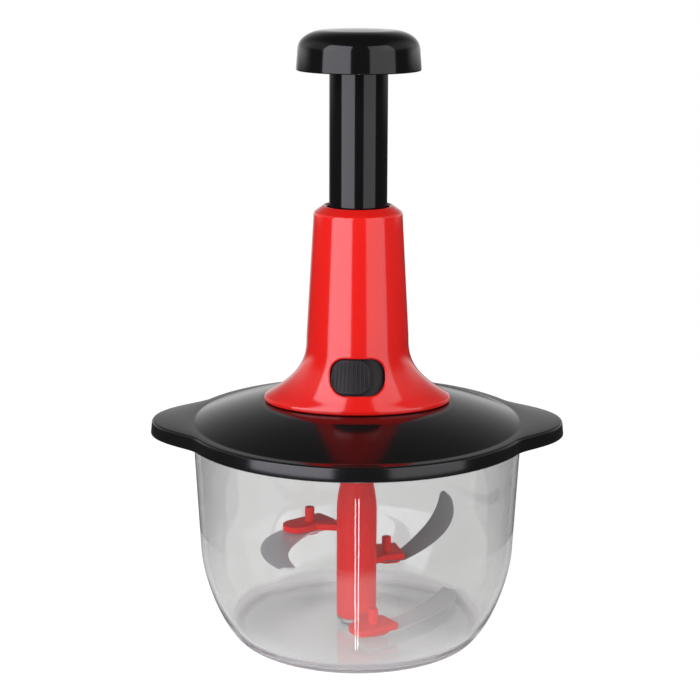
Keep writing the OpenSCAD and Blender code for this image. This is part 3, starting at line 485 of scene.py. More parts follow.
def flareRadius(flange, z):
    w = tower
    if z >= w["flareTop"]:
        return w["waistR"] + (w["crownR"] - w["waistR"]) * (z - w["flareTop"]) / (w["crownZ"] - w["flareTop"])
    share = 1 - max(0.0, z - w["flareFoot"]) / (w["flareTop"] - w["flareFoot"])
    return w["waistR"] + (flange - w["waistR"]) * share ** w["power"]


def towerSkin(x, z, inset):
    rx, ry = flareRadius(tower["flangeX"], z) - inset, flareRadius(tower["flangeY"], z) - inset
    return Vector((x, -ry * math.sqrt(max(0.0, 1 - (x / rx) ** 2)), z))


def skinNormal(x, z):
    h = 0.05
    across = towerSkin(x + h, z, 0) - towerSkin(x - h, z, 0)
    upward = towerSkin(x, z + h, 0) - towerSkin(x, z - h, 0)
    return across.cross(upward).normalized()


def obroundPoint(dx, dz, halfW, halfH, radius):
    # where a ray from the middle meets a rectangle with round corners
    low, high = 0.0, 3 * (halfW + halfH)
    size = math.hypot(dx, dz)
    dx, dz = dx / size, dz / size
    for _ in range(50):
        mid = (low + high) / 2
        qx, qz = abs(dx * mid) - (halfW - radius), abs(dz * mid) - (halfH - radius)
        depth = math.hypot(max(qx, 0), max(qz, 0)) + min(max(qx, qz), 0) - radius
        low, high = (mid, high) if depth < 0 else (low, mid)
    return dx * low, dz * low


def makeTower(w):
    lowZ = w["flareFoot"] + w["lift"]
    lowZs = [lowZ, (lowZ + w["patchLow"]) / 2]
    patchStep = (w["patchHigh"] - w["patchLow"]) / w["patchRows"]
    patchZs = [w["patchLow"] + patchStep * i for i in range(w["patchRows"] + 1)]
    climb = [(i / w["highRows"]) ** w["highPower"] for i in range(w["highRows"])]
    highZs = [w["flareTop"] + (w["crownZ"] - w["flareTop"]) * t for t in climb]
    body = lowZs + patchZs + highZs
    lines = []
    for flange in (w["flangeX"], w["flangeY"]):
        foot = [(flange - w["flangeIn"], w["footZ"]), (flange, w["footZ"]),
                (flange, w["flareFoot"] - w["flangeDrop"])]
        start = [(flareRadius(flange, z), z) for z in body]
        crown = [(w["crownR"], w["crownZ"]), (w["mouthR"] + w["mouthIn"], w["topZ"]),
                 (w["mouthR"], w["topZ"] - w["mouthDrop"]), (w["mouthR"], w["crownZ"] - w["mouthDeep"])]
        line = roundedLine(foot + start[:1], {1: w["flangeFoot"], 2: w["flangeTop"]}, 6)[:-1]
        skip = len(line)
        line += start + roundedLine(start[-1:] + crown, {1: w["crownRound"], 2: w["mouthRound"]}, 6)[1:]
        lines.append((line, skip))
    (alongX, skip), (alongY, _) = lines
    rows = [(x, zx, y, zy) for (x, zx), (y, zy) in zip(alongX, alongY)]
    inner = [(flareRadius(w["flangeX"], z) - w["wall"], z, flareRadius(w["flangeY"], z) - w["wall"], z)
             for z in body[:-1]]
    patchLow = skip + len(lowZs)
    points, faces, index = [], [], {}

    def at(side, row, column):
        column %= w["columns"]
        key = (side, row, column)
        if key not in index:
            rx, zx, ry, zy = (rows if side == 0 else inner)[row]
            a = math.tau * column / w["columns"] - math.pi / 2
            c, s = math.cos(a), math.sin(a)
            index[key] = len(points)
            points.append((rx * c, ry * s, zx * c * c + zy * s * s))
        return index[key]

    half = w["patchColumns"]

    def cut(column):
        return column < half or column >= w["columns"] - half

    for side, count, low in ((0, len(rows), patchLow), (1, len(inner), len(lowZs))):
        for row in range(count - 1):
            for column in range(w["columns"]):
                if low <= row < low + w["patchRows"] and cut(column):
                    continue
                faces.append([at(side, row, column), at(side, row, column + 1),
                              at(side, row + 1, column + 1), at(side, row + 1, column)])
    for column in range(w["columns"]):  # the mouth and the foot join the two walls
        faces.append([at(0, len(rows) - 1, column), at(0, len(rows) - 1, column + 1),
                      at(1, len(inner) - 1, column + 1), at(1, len(inner) - 1, column)])
        faces.append([at(0, 0, column), at(0, 0, column + 1), at(1, 0, column + 1), at(1, 0, column)])

    def patchLoop(side, low):
        loop = [(low, c) for c in range(-half, half)]
        loop += [(low + r, half) for r in range(w["patchRows"])]
        loop += [(low + w["patchRows"], c) for c in range(half, -half, -1)]
        loop += [(low + w["patchRows"] - r, -half) for r in range(w["patchRows"])]
        return [at(side, r, c) for r, c in loop]

    outerLoop, innerLoop = patchLoop(0, patchLow), patchLoop(1, len(lowZs))
    count = len(outerLoop)
    hole = []
    for i in outerLoop:
        x, _, z = points[i]
        hole.append(obroundPoint(x * 1.15, z - w["windowZ"], w["windowW"] / 2, w["windowH"] / 2, w["windowRound"]))
    edge = w["edgeRound"]
    loops = []

    def addLoop(maker):
        first = len(points)
        points.extend(maker(i) for i in range(count))
        loops.append(list(range(first, first + count)))

    def grown(i, reach):
        x, z = hole[i]
        before, after = Vector(hole[i - 1]), Vector(hole[(i + 1) % count])
        along = (after - before).normalized()
        outward = Vector((along.y, -along.x))
        if outward.dot(Vector((x, z))) < 0:
            outward = -outward
        return x + outward.x * reach, z + outward.y * reach + w["windowZ"]

    def onSkin(i, reach, depth):
        x, z = grown(i, reach)
        return tuple(towerSkin(x, z, 0) - skinNormal(x, z) * depth)

    def spread(side, share):
        def maker(i):
            far = points[(outerLoop if side == 0 else innerLoop)[i]]
            x, z = grown(i, edge * w["edgeReach"])
            x, z = x + (far[0] - x) * share, z + (far[2] - z) * share
            return tuple(towerSkin(x, z, 0 if side == 0 else w["wall"]))
        return maker

    loops.append(outerLoop)
    for share in (0.8, 0.6, 0.42, 0.27, 0.14, 0.05, 0.0):
        addLoop(spread(0, share))
    for k in range(7):
        swing = math.pi / 2 * k / 6
        addLoop(lambda i: onSkin(i, edge * (1 - math.sin(swing)), edge * (1 - math.cos(swing))))
    for share in (0.0, 0.3, 0.65):
        addLoop(spread(1, share))
    loops.append(innerLoop)
    for one, two in zip(loops, loops[1:]):
        faces.extend([one[i], one[(i + 1) % count], two[(i + 1) % count], two[i]] for i in range(count))
    return meshObject("towerShell", points, faces, 42.0)


settle(makeTower(tower), plastics["towerRed"], "lid", "red_plastic", "housing_shell")
print("tower made")


# lock slider: a ribbed button on a curved plate

slider = {"outR": 22.7, "inR": 21.2, "halfH": 10.3, "room": 0.45, "plate": 1.5,
          "tongueIn": 12.4, "tongueW": 2.4, "tongueH": 3.0, "buttonW": 20.4, "buttonH": 16.3, "round": 7.0,
          "sink": 0.15, "edge": 0.8, "ribs": 10, "ribR": 0.42, "ribPitch": 4.25, "ribReach": 0.42,
          "ribCorner": 0.8, "ribEnd": 0.9, "ribFade": 5.0, "ribLeast": 0.15, "depth": 2.6,
          "turn": -7.3, "plateHalf": 43.0, "plateTurn": -7.3, "z": 137.0}


def sectorBlock(name, inR, outR, low, high, middle, half, steps=24):
    rings = []
    for k in range(steps + 1):
        a = math.radians(middle - half + 2 * half * k / steps)
        c, s = math.cos(a), math.sin(a)
        corners = roundedLine([(inR, low), (outR, low), (outR, high), (inR, high), (inR, low), (outR, low)],
                              {1: 0.4, 2: 0.4}, 2)[:-2]
        rings.append([(r * c, r * s, z) for r, z in corners])
    return loft(name, rings)


def makePlate(b):
    zs = [b["z"] + b["halfH"] * (k / 6 - 1) for k in range(13)]
    face = [(flareRadius(tower["flangeY"], z) - tower["wall"] - b["room"], z) for z in zs]
    section = face + [(r - b["plate"], z) for r, z in face[::-1]]
    rings = []
    for k in range(33):
        a = math.radians(front + b["plateTurn"] + b["plateHalf"] * (k / 16 - 1))
        rings.append([(r * math.cos(a), r * math.sin(a), z) for r, z in section])
    return loft("lockPlate", rings)


def makeButton(b):
    count, loops, points, faces = 96, [], [], []
    offset = b["turn"]

    def faceAt(x, z, depth):
        r = flareRadius(tower["flangeY"], z) - b["sink"] - depth
        a = math.degrees(math.asin(max(-1.0, min(1.0, x / flareRadius(tower["flangeY"], b["z"])))))
        px, py = turned(0, -r, a + offset)
        return px, py, z

    outline = [obroundPoint(math.cos(math.tau * i / count), math.sin(math.tau * i / count) * 0.85,
                            b["buttonW"] / 2, b["buttonH"] / 2, b["round"]) for i in range(count)]
    rims = [(share, 0.0) for share in (0.12, 0.3, 0.5, 0.7, 0.85)]
    e = b["edge"]
    for k in range(6):
        swing = math.pi / 2 * k / 5
        rims.append((1 - e * (1 - math.sin(swing)) / (b["buttonH"] / 2), e * (1 - math.cos(swing))))
    rims.append((1.0, b["depth"]))
    points.append(faceAt(0, b["z"], 0))
    for share, depth in rims:
        first = len(points)
        points.extend(faceAt(x * share, b["z"] + z * share, depth) for x, z in outline)
        loops.append(list(range(first, first + count)))
    faces += [[0, loops[0][i], loops[0][(i + 1) % count]] for i in range(count)]
    for one, two in zip(loops, loops[1:]):
        faces += [[one[i], one[(i + 1) % count], two[(i + 1) % count], two[i]] for i in range(count)]
    faces.append(loops[-1])
    return meshObject("lockButton", points, faces)


def ribSeed(b):
    rings = []
    for k in range(13):
        share = 2 * k / 12 - 1
        z = (b["buttonH"] / 2 - b["ribEnd"]) * share
        r = flareRadius(tower["flangeY"], b["z"] + z) - b["sink"]
        fade = min(1.0, (1 - abs(share)) * b["ribFade"] + b["ribLeast"])
        half = [math.pi * i / 5 for i in range(6)]
        rings.append([(b["ribR"] * math.cos(a), -r + b["sink"] - b["ribR"] * fade * math.sin(a), z) for a in half])
    return loft("ribSeed", rings)


def ribTree(material):
    tree = Tree("ribRow", ["Count"], ["Pitch", "Turn", "Height", "Reach", "Corner"])
    count, reach = tree.given("Count", "Reach")
    middle = (count - 1.0) * 0.5
    offset = tree.node("GeometryNodeInputIndex") - middle
    angle = tree.maths("RADIANS", offset * tree.given("Pitch") + tree.given("Turn"))
    # ribs near the round ends are shorter
    over = tree.maths("MAXIMUM", abs(offset) / (middle + 0.6) - reach) / (1.0 - reach)  # half a rib past the last
    high = 1.0 - tree.given("Corner") * (1.0 - tree.maths("SQRT", 1.0 - over * over))
    dots = tree.node("GeometryNodePoints", None, {"Count": count, "Position": tree.vector(z=tree.given("Height"))})
    tree.close(tree.node("GeometryNodeInstanceOnPoints", None, {
        "Points": dots, "Instance": tree.given("Geometry"), "Rotation": tree.vector(z=angle),
        "Scale": tree.vector(1.0, 1.0, high)}), material)
    return tree


settle(makePlate(slider), plastics["sliderGrey"], "lock", "slider_plastic", "lock_slider")
settle(makeButton(slider), plastics["sliderGrey"], "lock", "slider_plastic", "lock_slider")
seed = ribSeed(slider)
ribs = growTree("lockRibs", ribTree(plastics["sliderGrey"]),
                {"Count": slider["ribs"], "Pitch": slider["ribPitch"], "Turn": slider["turn"],
                 "Height": slider["z"] * mm, "Reach": slider["ribReach"], "Corner": slider["ribCorner"]},
                seed.data.copy())
bpy.data.objects.remove(seed)
settle(ribs, None, "lock", "slider_plastic", "lock_slider")
halfTongue = math.degrees(math.asin(slider["tongueW"] / 2 / slider["outR"]))
settle(sectorBlock("lockTongue", slider["tongueIn"], slider["inR"] + 0.5, slider["z"] - slider["tongueH"] / 2,
                   slider["z"] + slider["tongueH"] / 2, front + slider["turn"], halfTongue, 4),
       plastics["sliderGrey"], "lock", "slider_plastic", "lock_slider")
print("lock slider made")


# knob and plunger

knob = {"edgeR": 29.8, "lean": 0.8, "footZ": 280.3, "topZ": 299.6, "round": 8.7, "roundW": 13.0, "crown": 0.5,
        "wall": 2.8, "lip": 0.6, "socketR": 16.4, "boreR": 14.05, "boreTop": 289.6, "ribs": 6, "ribT": 1.4,
        "ribZ": 285.1, "ribLow": -1.8, "ribHigh": 5.2, "ribRound": 0.8, "ribSink": 0.2, "ribRoom": 1.0,
        "hollowIn": 0.5, "hollowRound": 5.0, "socketRound": 0.5}


def makeKnob(k):
    sideR, shoulder = k["edgeR"] - k["lean"], k["topZ"] - k["crown"] - k["round"]
    dome = [(0, k["topZ"])]
    dome += [((sideR - k["roundW"]) * s, k["topZ"] - k["crown"] * s * s) for s in (0.2, 0.4, 0.6, 0.8)]
    for a in range(0, 91, 5):
        over, up = turned(0, 1, -a)
        dome.append((sideR - k["roundW"] + k["roundW"] * over, shoulder + k["round"] * up))
    foot = roundedLine([dome[-1], (k["edgeR"], k["footZ"]), (k["edgeR"] - k["wall"], k["footZ"]),
                        (sideR - k["wall"], shoulder)], {1: k["lip"], 2: k["lip"]}, 5)[1:]
    ceiling = k["topZ"] - k["wall"] - k["crown"]
    hollow = roundedLine([foot[-1], (sideR - k["wall"] - k["hollowIn"], ceiling), (k["socketR"], ceiling),
                          (k["socketR"], k["footZ"]), (k["boreR"], k["footZ"]), (k["boreR"], k["boreTop"]),
                          (0, k["boreTop"])], {1: k["hollowRound"], 3: k["socketRound"]}, 5)[1:]
    return lathe("knobShell", dome + foot + hollow, sides=256)


def radialTree(name, material):
    tree = Tree(name, ["Count"], ["Start", "Reach", "Height"])
    count, reach = tree.given("Count", "Reach")
    angle = tree.node("GeometryNodeInputIndex") * math.tau / count + tree.given("Start")
    spot = tree.vector(reach * tree.maths("COSINE", angle), reach * tree.maths("SINE", angle), tree.given("Height"))
    dots = tree.node("GeometryNodePoints", None, {"Count": count, "Position": spot})
    tree.close(tree.node("GeometryNodeInstanceOnPoints", None, {
        "Points": dots, "Instance": tree.given("Geometry"), "Rotation": tree.vector(z=angle)}), material)
    return tree


settle(makeKnob(knob), plastics["knobBlack"], "plunger", "black_plastic", "knob")
ribLength = knob["edgeR"] - knob["wall"] - knob["socketR"] - knob["ribRoom"]
ribOutline = roundedLine([(0, knob["ribLow"]), (ribLength, knob["ribLow"]), (ribLength, knob["ribHigh"]),
                          (0, knob["ribHigh"])], {1: knob["ribRound"]}, 3)
ribFin = loft("finSeed", [[(x, side * knob["ribT"] / 2, z) for x, z in ribOutline] for side in (-1, 1)])
fins = growTree("knobFins", radialTree("finRing", plastics["knobBlack"]),
                {"Count": knob["ribs"], "Start": 0.0, "Reach": (knob["socketR"] - knob["ribSink"]) * mm,
                 "Height": knob["ribZ"] * mm}, ribFin.data.copy())
bpy.data.objects.remove(ribFin)
settle(fins, None, "plunger", "black_plastic", "knob")
settle(polishedCopy("plunger_tube"), plastics["knobBlack"], "plunger", "black_plastic", "plunger_tube")
settle(polishedCopy("rod_anchor"), plastics["driveGrey"], "plunger", "grey_plastic", "rod_anchor")
settle(polishedCopy("anchor_pin"), metals["turnedSteel"], "plunger", "steel", "anchor_pin")
settle(polishedCopy("knob_screws"), metals["turnedSteel"], "plunger", "steel", "knob_screws")


# twisted rod and return spring

rod = {"bottom": 105.1, "top": 282.8, "width": 6.0, "thick": 2.5, "lead": 29.0, "phaseZ": 277.3, "steps": 520}
coil = {"bottom": 129.84, "top": 271.56, "radius": 10.0, "wire": 0.7, "turns": 18.0, "anchorZ": 129.1, "keep": 0.594}


def rodTree(material):
    tree = Tree("twistedStrip", ["Steps"], ["Bottom", "Top", "Width", "Thick", "Lead", "Phase"])
    bottom, top, thick = tree.given("Bottom", "Top", "Thick")
    bar = tree.node("GeometryNodeMeshGrid", None, {
        "Size X": tree.given("Width"), "Size Y": top - bottom, "Vertices X": 2, "Vertices Y": tree.given("Steps")})
    solid = tree.node("GeometryNodeExtrudeMesh", None, {
        "Mesh": bar, "Offset": tree.vector(z=1.0), "Offset Scale": thick, "Individual": False})
    whole = tree.node("GeometryNodeJoinGeometry")
    for face in (solid, tree.node("GeometryNodeFlipFaces", None, {"Mesh": bar})):
        tree.tree.links.new(face.socket, whole.socket.node.inputs[0])
    merged = tree.node("GeometryNodeMergeByDistance", None, {"Geometry": whole, "Distance": 1e-6})
    x, along, lift = tree.split(tree.node("GeometryNodeInputPosition"))
    y, z = lift - thick * 0.5, along + (top + bottom) * 0.5
    turn = (tree.given("Phase") - z) * math.tau / tree.given("Lead")
    c, s = tree.maths("COSINE", turn), tree.maths("SINE", turn)
    tree.close(tree.node("GeometryNodeSetPosition", None, {
        "Geometry": merged, "Position": tree.vector(x * c - y * s, x * s + y * c, z)}), material)
    return tree


def coilTree(material):
    tree = Tree("coilSpring", [], ["Turns", "Radius", "Height", "Wire", "Bottom"])
    path = tree.node("GeometryNodeCurveSpiral", None, {
        "Resolution": 40, "Rotations": tree.given("Turns"), "Start Radius": tree.given("Radius"),
        "End Radius": tree.given("Radius"), "Height": tree.given("Height")})
    ring = tree.node("GeometryNodeCurvePrimitiveCircle", None, {"Resolution": 10, "Radius": tree.given("Wire")})
    wire = tree.node("GeometryNodeCurveToMesh", None, {"Curve": path, "Profile Curve": ring, "Fill Caps": True})
    tree.close(tree.node("GeometryNodeTransform", None, {
        "Geometry": wire, "Translation": tree.vector(z=tree.given("Bottom"))}), material)
    return tree


strip = growTree("twistedStrip", rodTree(metals["turnedSteel"]),
                 {"Bottom": rod["bottom"] * mm, "Top": rod["top"] * mm, "Width": rod["width"] * mm,
                  "Thick": rod["thick"] * mm, "Lead": rod["lead"] * mm, "Phase": rod["phaseZ"] * mm,
                  "Steps": rod["steps"]})
settle(strip, None, "plunger", "steel", "twisted_rod")
spring = growTree("returnCoil", coilTree(metals["turnedSteel"]),
                  {"Turns": coil["turns"], "Radius": coil["radius"] * mm, "Wire": coil["wire"] * mm,
                   "Height": (coil["top"] - coil["bottom"]) * mm, "Bottom": coil["bottom"] * mm})
settle(spring, None, "lid", "steel", "return_spring")
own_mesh(spring)
print("plunger made")


# drive and fixings under the lid

for node, body, slot, material in (
        ("guide_sleeve", "lid", "grey_plastic", plastics["knobBlack"]),
        ("bearing_plate", "lid", "black_plastic", plastics["lidBlack"]),
        ("spring_cup", "lid", "steel", metals["turnedSteel"]),
        ("thrust_washer", "lid", "steel", metals["turnedSteel"]),
        ("drive_retainer", "lid", "black_plastic", plastics["lidBlack"]),
        ("spring_washer", "lid", "steel", metals["turnedSteel"]),
        ("drive_nut", "drive", "grey_plastic", plastics["driveGrey"]),
        ("ratchet_hub", "drive", "grey_plastic", plastics["driveGrey"]),
        ("nut_clip", "drive", "steel", metals["turnedSteel"]),
        ("housing_screws", "lid", "steel", metals["turnedSteel"]),
        ("retainer_screws", "lid", "steel", metals["turnedSteel"]),
        ("foot_bush", "blade_rotor", "steel", metals["turnedSteel"])):
    settle(polishedCopy(node), material, body, slot, node)
print("drive and fixings dressed")


# blade rotor

rotor = {"foot": 7.4, "shaftR": 10.0, "taperZ": 62.0, "taper": 14.0, "taperSteps": 16, "neckR": 8.4,
         "shoulder": 89.85, "boreR": 5.2, "boreFloor": 45.1, "bushR": 6.5, "bushTop": 41.1, "headR": 8.0,
         "headTop": 105.85, "headEdge": 0.7, "reach": 24.0, "studR": 2.4, "studH": 7.4, "studRound": 0.7,
         "armHalf": 4.2, "armEnd": 5.2, "armT": 3.2, "padT": 1.8, "padHalf": 4.6, "padDrop": 4.2, "bevel": 0.5}
# plate corners run from the back right one round to the back left one, with their radii
arms = {
    "bottom": {"turn": -70.0, "top": 11.6, "heading": 105.2, "front": 10.0, "back": 13.0, "right": 8.0, "left": 6.5,
               "corners": (5.0, 1.0, 2.0, 6.0), "pad": 4.0},
    "middle": {"turn": 50.0, "top": 35.3, "heading": -35.7, "front": 7.7, "back": 8.0, "right": 7.6, "left": 10.5,
               "corners": (2.0, 0.8, 1.0, 2.0), "pad": 3.0},
    "top": {"turn": 170.0, "top": 55.6, "heading": 49.1, "front": 14.5, "back": 12.0, "right": 7.5, "left": 6.5,
            "corners": (1.5, 6.5, 6.5, 2.0), "pad": 0.5},
}


def makeShaft(r):
    shares = [k / r["taperSteps"] for k in range(r["taperSteps"] + 1)]
    taper = [(r["shaftR"] + (r["neckR"] - r["shaftR"]) * t ** 2, r["taperZ"] + r["taper"] * t) for t in shares]
    foot = roundedLine([(r["bushR"], r["foot"]), (r["shaftR"], r["foot"]), taper[0]], {1: r["bevel"]}, 4)[:-1]
    neck = roundedLine([taper[-1], (r["neckR"], r["shoulder"]), (r["boreR"], r["shoulder"])], {1: r["bevel"]}, 4)[1:]
    line = [(0, r["bushTop"]), (r["bushR"], r["bushTop"])] + foot + taper + neck
    line += [(r["boreR"], r["boreFloor"]), (0, r["boreFloor"])]
    return lathe("rotorShaft", finer(line, 6.0), sides=128)


def makeHead(r):
    rings = []
    for k in range(96):
        a = 360 * k / 96
        flat = r["headR"] * math.cos(math.radians(30)) / math.cos(math.radians(a % 60 - 30))
        line = [(r["boreR"], r["shoulder"] - 1), (flat, r["shoulder"] - 1), (flat, r["headTop"] - r["headEdge"]),
                (flat - r["headEdge"], r["headTop"]), (r["boreR"], r["headTop"])]
        rings.append([(*turned(reach, 0, a), z) for reach, z in line])
    return loft("rotorHead", rings, loop=True, sharp=25.0)


def slab(name, outline, low, high, bevel, place):
    count = len(outline)

    def drawnIn(depth):
        line = []
        for i in range(count):
            before, here, after = (Vector(outline[k % count]) for k in (i - 1, i, i + 1))
            along = ((here - before).normalized() + (after - here).normalized()).normalized()
            line.append((here.x - along.y * depth, here.y + along.x * depth))
        return line

    swings = [math.pi / 2 * k / 3 for k in range(4)]
    steps = [(bevel * (1 - math.sin(a)), bevel * (1 - math.cos(a))) for a in swings]
    rows = [(depth, low + rise) for depth, rise in steps] + [(depth, high - rise) for depth, rise in steps[::-1]]
    return loft(name, [[(*place(x, y), z) for x, y in drawnIn(depth)] for depth, z in rows])


def makeArm(name, a, r):
    def along(x, y):
        return turned(x, y, a["turn"])

    def beside(x, y):
        x, y = turned(x, y, a["heading"])
        return along(x + r["reach"], y)

    def closed(points, radii):
        ring = points + points[:2]
        line = roundedLine(ring, {k: radii[k % len(points)] for k in range(1, len(points) + 1)}, 10)
        return list(dict.fromkeys(line[1:-1]))

    under = a["top"] - r["armT"]
    padTop = a["top"] - r["padDrop"]
    plate = [(-a["back"], -a["right"]), (a["front"], -a["right"]), (a["front"], a["left"]), (-a["back"], a["left"])]
    root = r["shaftR"] - 2
    neck = [(root, -r["armHalf"]), (r["reach"], -r["armEnd"]), (r["reach"], r["armEnd"]), (root, r["armHalf"])]
    pad = [(-r["padHalf"], -r["padHalf"]), (a["pad"] + r["padHalf"], -r["padHalf"]),
           (a["pad"] + r["padHalf"], r["padHalf"]), (-r["padHalf"], r["padHalf"])]
    stud = roundedLine([(0.1, padTop - 0.9), (r["studR"], padTop - 0.9), (r["studR"], a["top"] + r["studH"]),
                        (0.1, a["top"] + r["studH"])], {2: r["studRound"]}, 4)
    circle = [turned(1, 0, 360 * k / 32) for k in range(32)]
    studRings = [[(*along(r["reach"] + x * reach, y * reach), z) for x, y in circle] for reach, z in stud]
    padLine = closed(pad, [r["padHalf"] * 0.98] * 4)
    return [slab(name + "ArmPlate", closed(plate, a["corners"]), under, a["top"], r["bevel"], beside),
            slab(name + "ArmNeck", neck, under + 0.04, a["top"] - 0.04, r["bevel"], along),
            slab(name + "ArmPad", padLine, padTop - r["padT"], padTop, r["bevel"], beside),
            loft(name + "ArmStud", studRings)]


rotorPieces = [makeShaft(rotor), makeHead(rotor)]
for name, a in arms.items():
    rotorPieces += makeArm(name, a, rotor)
for piece in rotorPieces:
    settle(piece, plastics["litShaftRed"], "blade_rotor", "red_plastic", "blade_shaft")

blades = {
    "bottom_blade": {"arm": -70.0, "z": 7.9, "heading": 105.2, "straight": 9.2, "curveR": 90.0, "curve": 65.5,
                     "rise": 0.0, "roll": 0.0, "width": 11.9, "tip": 0.27, "tipStart": 0.79, "tipRound": 4.0,
                     "steel": "bladeSteel"},
    "middle_blade": {"arm": 50.0, "z": 31.6, "heading": -35.7, "straight": 7.9, "curveR": 37.0, "curve": 45.4,
                     "rise": 23.6, "roll": 7.7, "width": 12.4, "tip": 0.40, "tipStart": 0.42, "tipRound": 3.5,
                     "steel": "shadedBladeSteel"},
    "top_blade": {"arm": 170.0, "z": 51.9, "heading": 49.1, "straight": 5.2, "curveR": 34.5, "curve": 50.3,
                  "rise": -4.3, "roll": -9.1, "width": 14.6, "tip": 0.64, "tipStart": 0.3, "tipRound": 0.8,
                  "steel": "bladeSteel"},
}
bladeCut = {"reach": 24.0, "back": 6.0, "thick": 0.9, "ground": 2.2, "keen": 0.2, "rollShare": 0.29, "steps": 96}


def makeBlade(name, b, cut):
    start = b["arm"] + b["heading"]
    sx, sy = turned(cut["reach"], 0, b["arm"])
    rings = []
    lengths = [-cut["back"], -cut["back"] / 2, 0, b["straight"] / 2]
    lengths += [b["straight"] + b["curve"] * i / cut["steps"] for i in range(cut["steps"] + 1)]
    for s in lengths:
        t = max(0.0, s - b["straight"]) / b["curve"]
        heading = start + math.degrees(b["curve"] * t / b["curveR"])
        hx, hy = turned(1, 0, heading)
        ax, ay = turned(1, 0, start)
        if s < b["straight"]:
            px, py = sx + s * ax, sy + s * ay
        else:
            px = sx + b["straight"] * ax + b["curveR"] * (hy - ay)
            py = sy + b["straight"] * ay + b["curveR"] * (ax - hx)
        middle = Vector((px, py, b["z"] + b["rise"] * t))
        roll = math.radians(b["roll"] * min(1.0, t / cut["rollShare"]))
        left, up = Vector((-hy, hx, 0)), Vector((0, 0, 1))
        across = math.cos(roll) * left + math.sin(roll) * up
        over = math.cos(roll) * up - math.sin(roll) * left
        taper = (max(0.0, t - b["tipStart"]) / (1 - b["tipStart"])) ** 2
        inner = b["width"] / 2
        outer = -b["width"] / 2 * (1 - 2 * (1 - b["tip"]) * taper)
        end = max(0.0, 1 - (1 - t) * b["curve"] / b["tipRound"])
        middleU, half = (inner + outer) / 2, (inner - outer) / 2 * math.sqrt(1 - 0.97 * end ** 2)
        inner, outer = middleU + half, middleU - half
        ground = min(cut["ground"], 0.4 * (inner - outer))
        flat, keen = cut["thick"] / 2, cut["keen"] / 2
        section = [(inner, -flat), (inner, flat), (outer + ground, flat), (outer, -flat + 2 * keen), (outer, -flat)]
        rings.append([tuple(middle + across * u + over * v) for u, v in section])
    return loft(name + ".ground", rings, sharp=20.0)


for node, b in blades.items():
    settle(makeBlade(node, b, bladeCut), metals[b["steel"]], "blade_rotor", "steel", node)
print("blades ground")


# stage, light and camera

stage = {"floorR": 0.62, "drop": 0.0002, "chalk": 0.8, "shade": 0.30, "glow": 1.33,
         "footR": 0.060, "under": 0.66, "underShadowSoft": 0.008, "right": 0.86, "rightIn": -0.04, "rightOut": 0.08,
         "nearR": 0.182, "nearSoft": 0.004, "farR": 0.204, "turnIn": -0.04, "far": 0.06,
         "paintedPatchGlow": 2.3, "paintedSideGlow": 0.4, "litIn": 0.03, "litOut": 0.075,
         "ringR": 0.063, "ringIn": 0.002, "ringOut": 0.005, "ringShadow": 0.85, "ringFront": -0.03, "ringBack": -0.01,
         "lineStart": -0.076, "lineEnd": -0.295, "lineSoft": 0.002, "lineOff": 0.00075, "lineIn": 0.00014,
         "lineOut": 0.00026, "lineSpread": 26.9, "paintedLineGlow": 22.0}
studio = {"horizon": -0.12, "backIn": 0.1, "backOut": 0.6, "lowIn": 0.8, "lowOut": 0.95, "lowGlow": 0.8,
          "leftIn": -0.05, "leftOut": 0.02, "sideIn": 0.45, "sideOut": 0.85, "sides": 0.4, "sideLow": 0.05,
          "sideHigh": 0.35, "fall": 2.7, "backdrop": 0.95, "dark": 0.05}
lampRow = {"distance": 1.3, "low": -0.34, "high": 1.75}
softBoxes = {"boxLeft": {"turn": -42.0, "width": 1.33, "power": 32.0, "tint": (0.93, 0.90, 1.0), "mirrored": True},
             "boxRight": {"turn": 45.0, "width": 1.21, "power": 12.5, "tint": (0.97, 0.96, 1.0), "mirrored": True},
             "fillRight": {"turn": 80.0, "width": 1.2, "power": 8.0, "tint": (1.0, 1.0, 1.0), "mirrored": False}}



def plainRays(paint):
    eyes, through, mirrored = paint.rays("Camera", "Transmission", "Glossy")
    plain = paint.maths("MINIMUM", eyes + through, 1.0)  # rays that see the white background
    return plain, through, mirrored * (1 - plain)


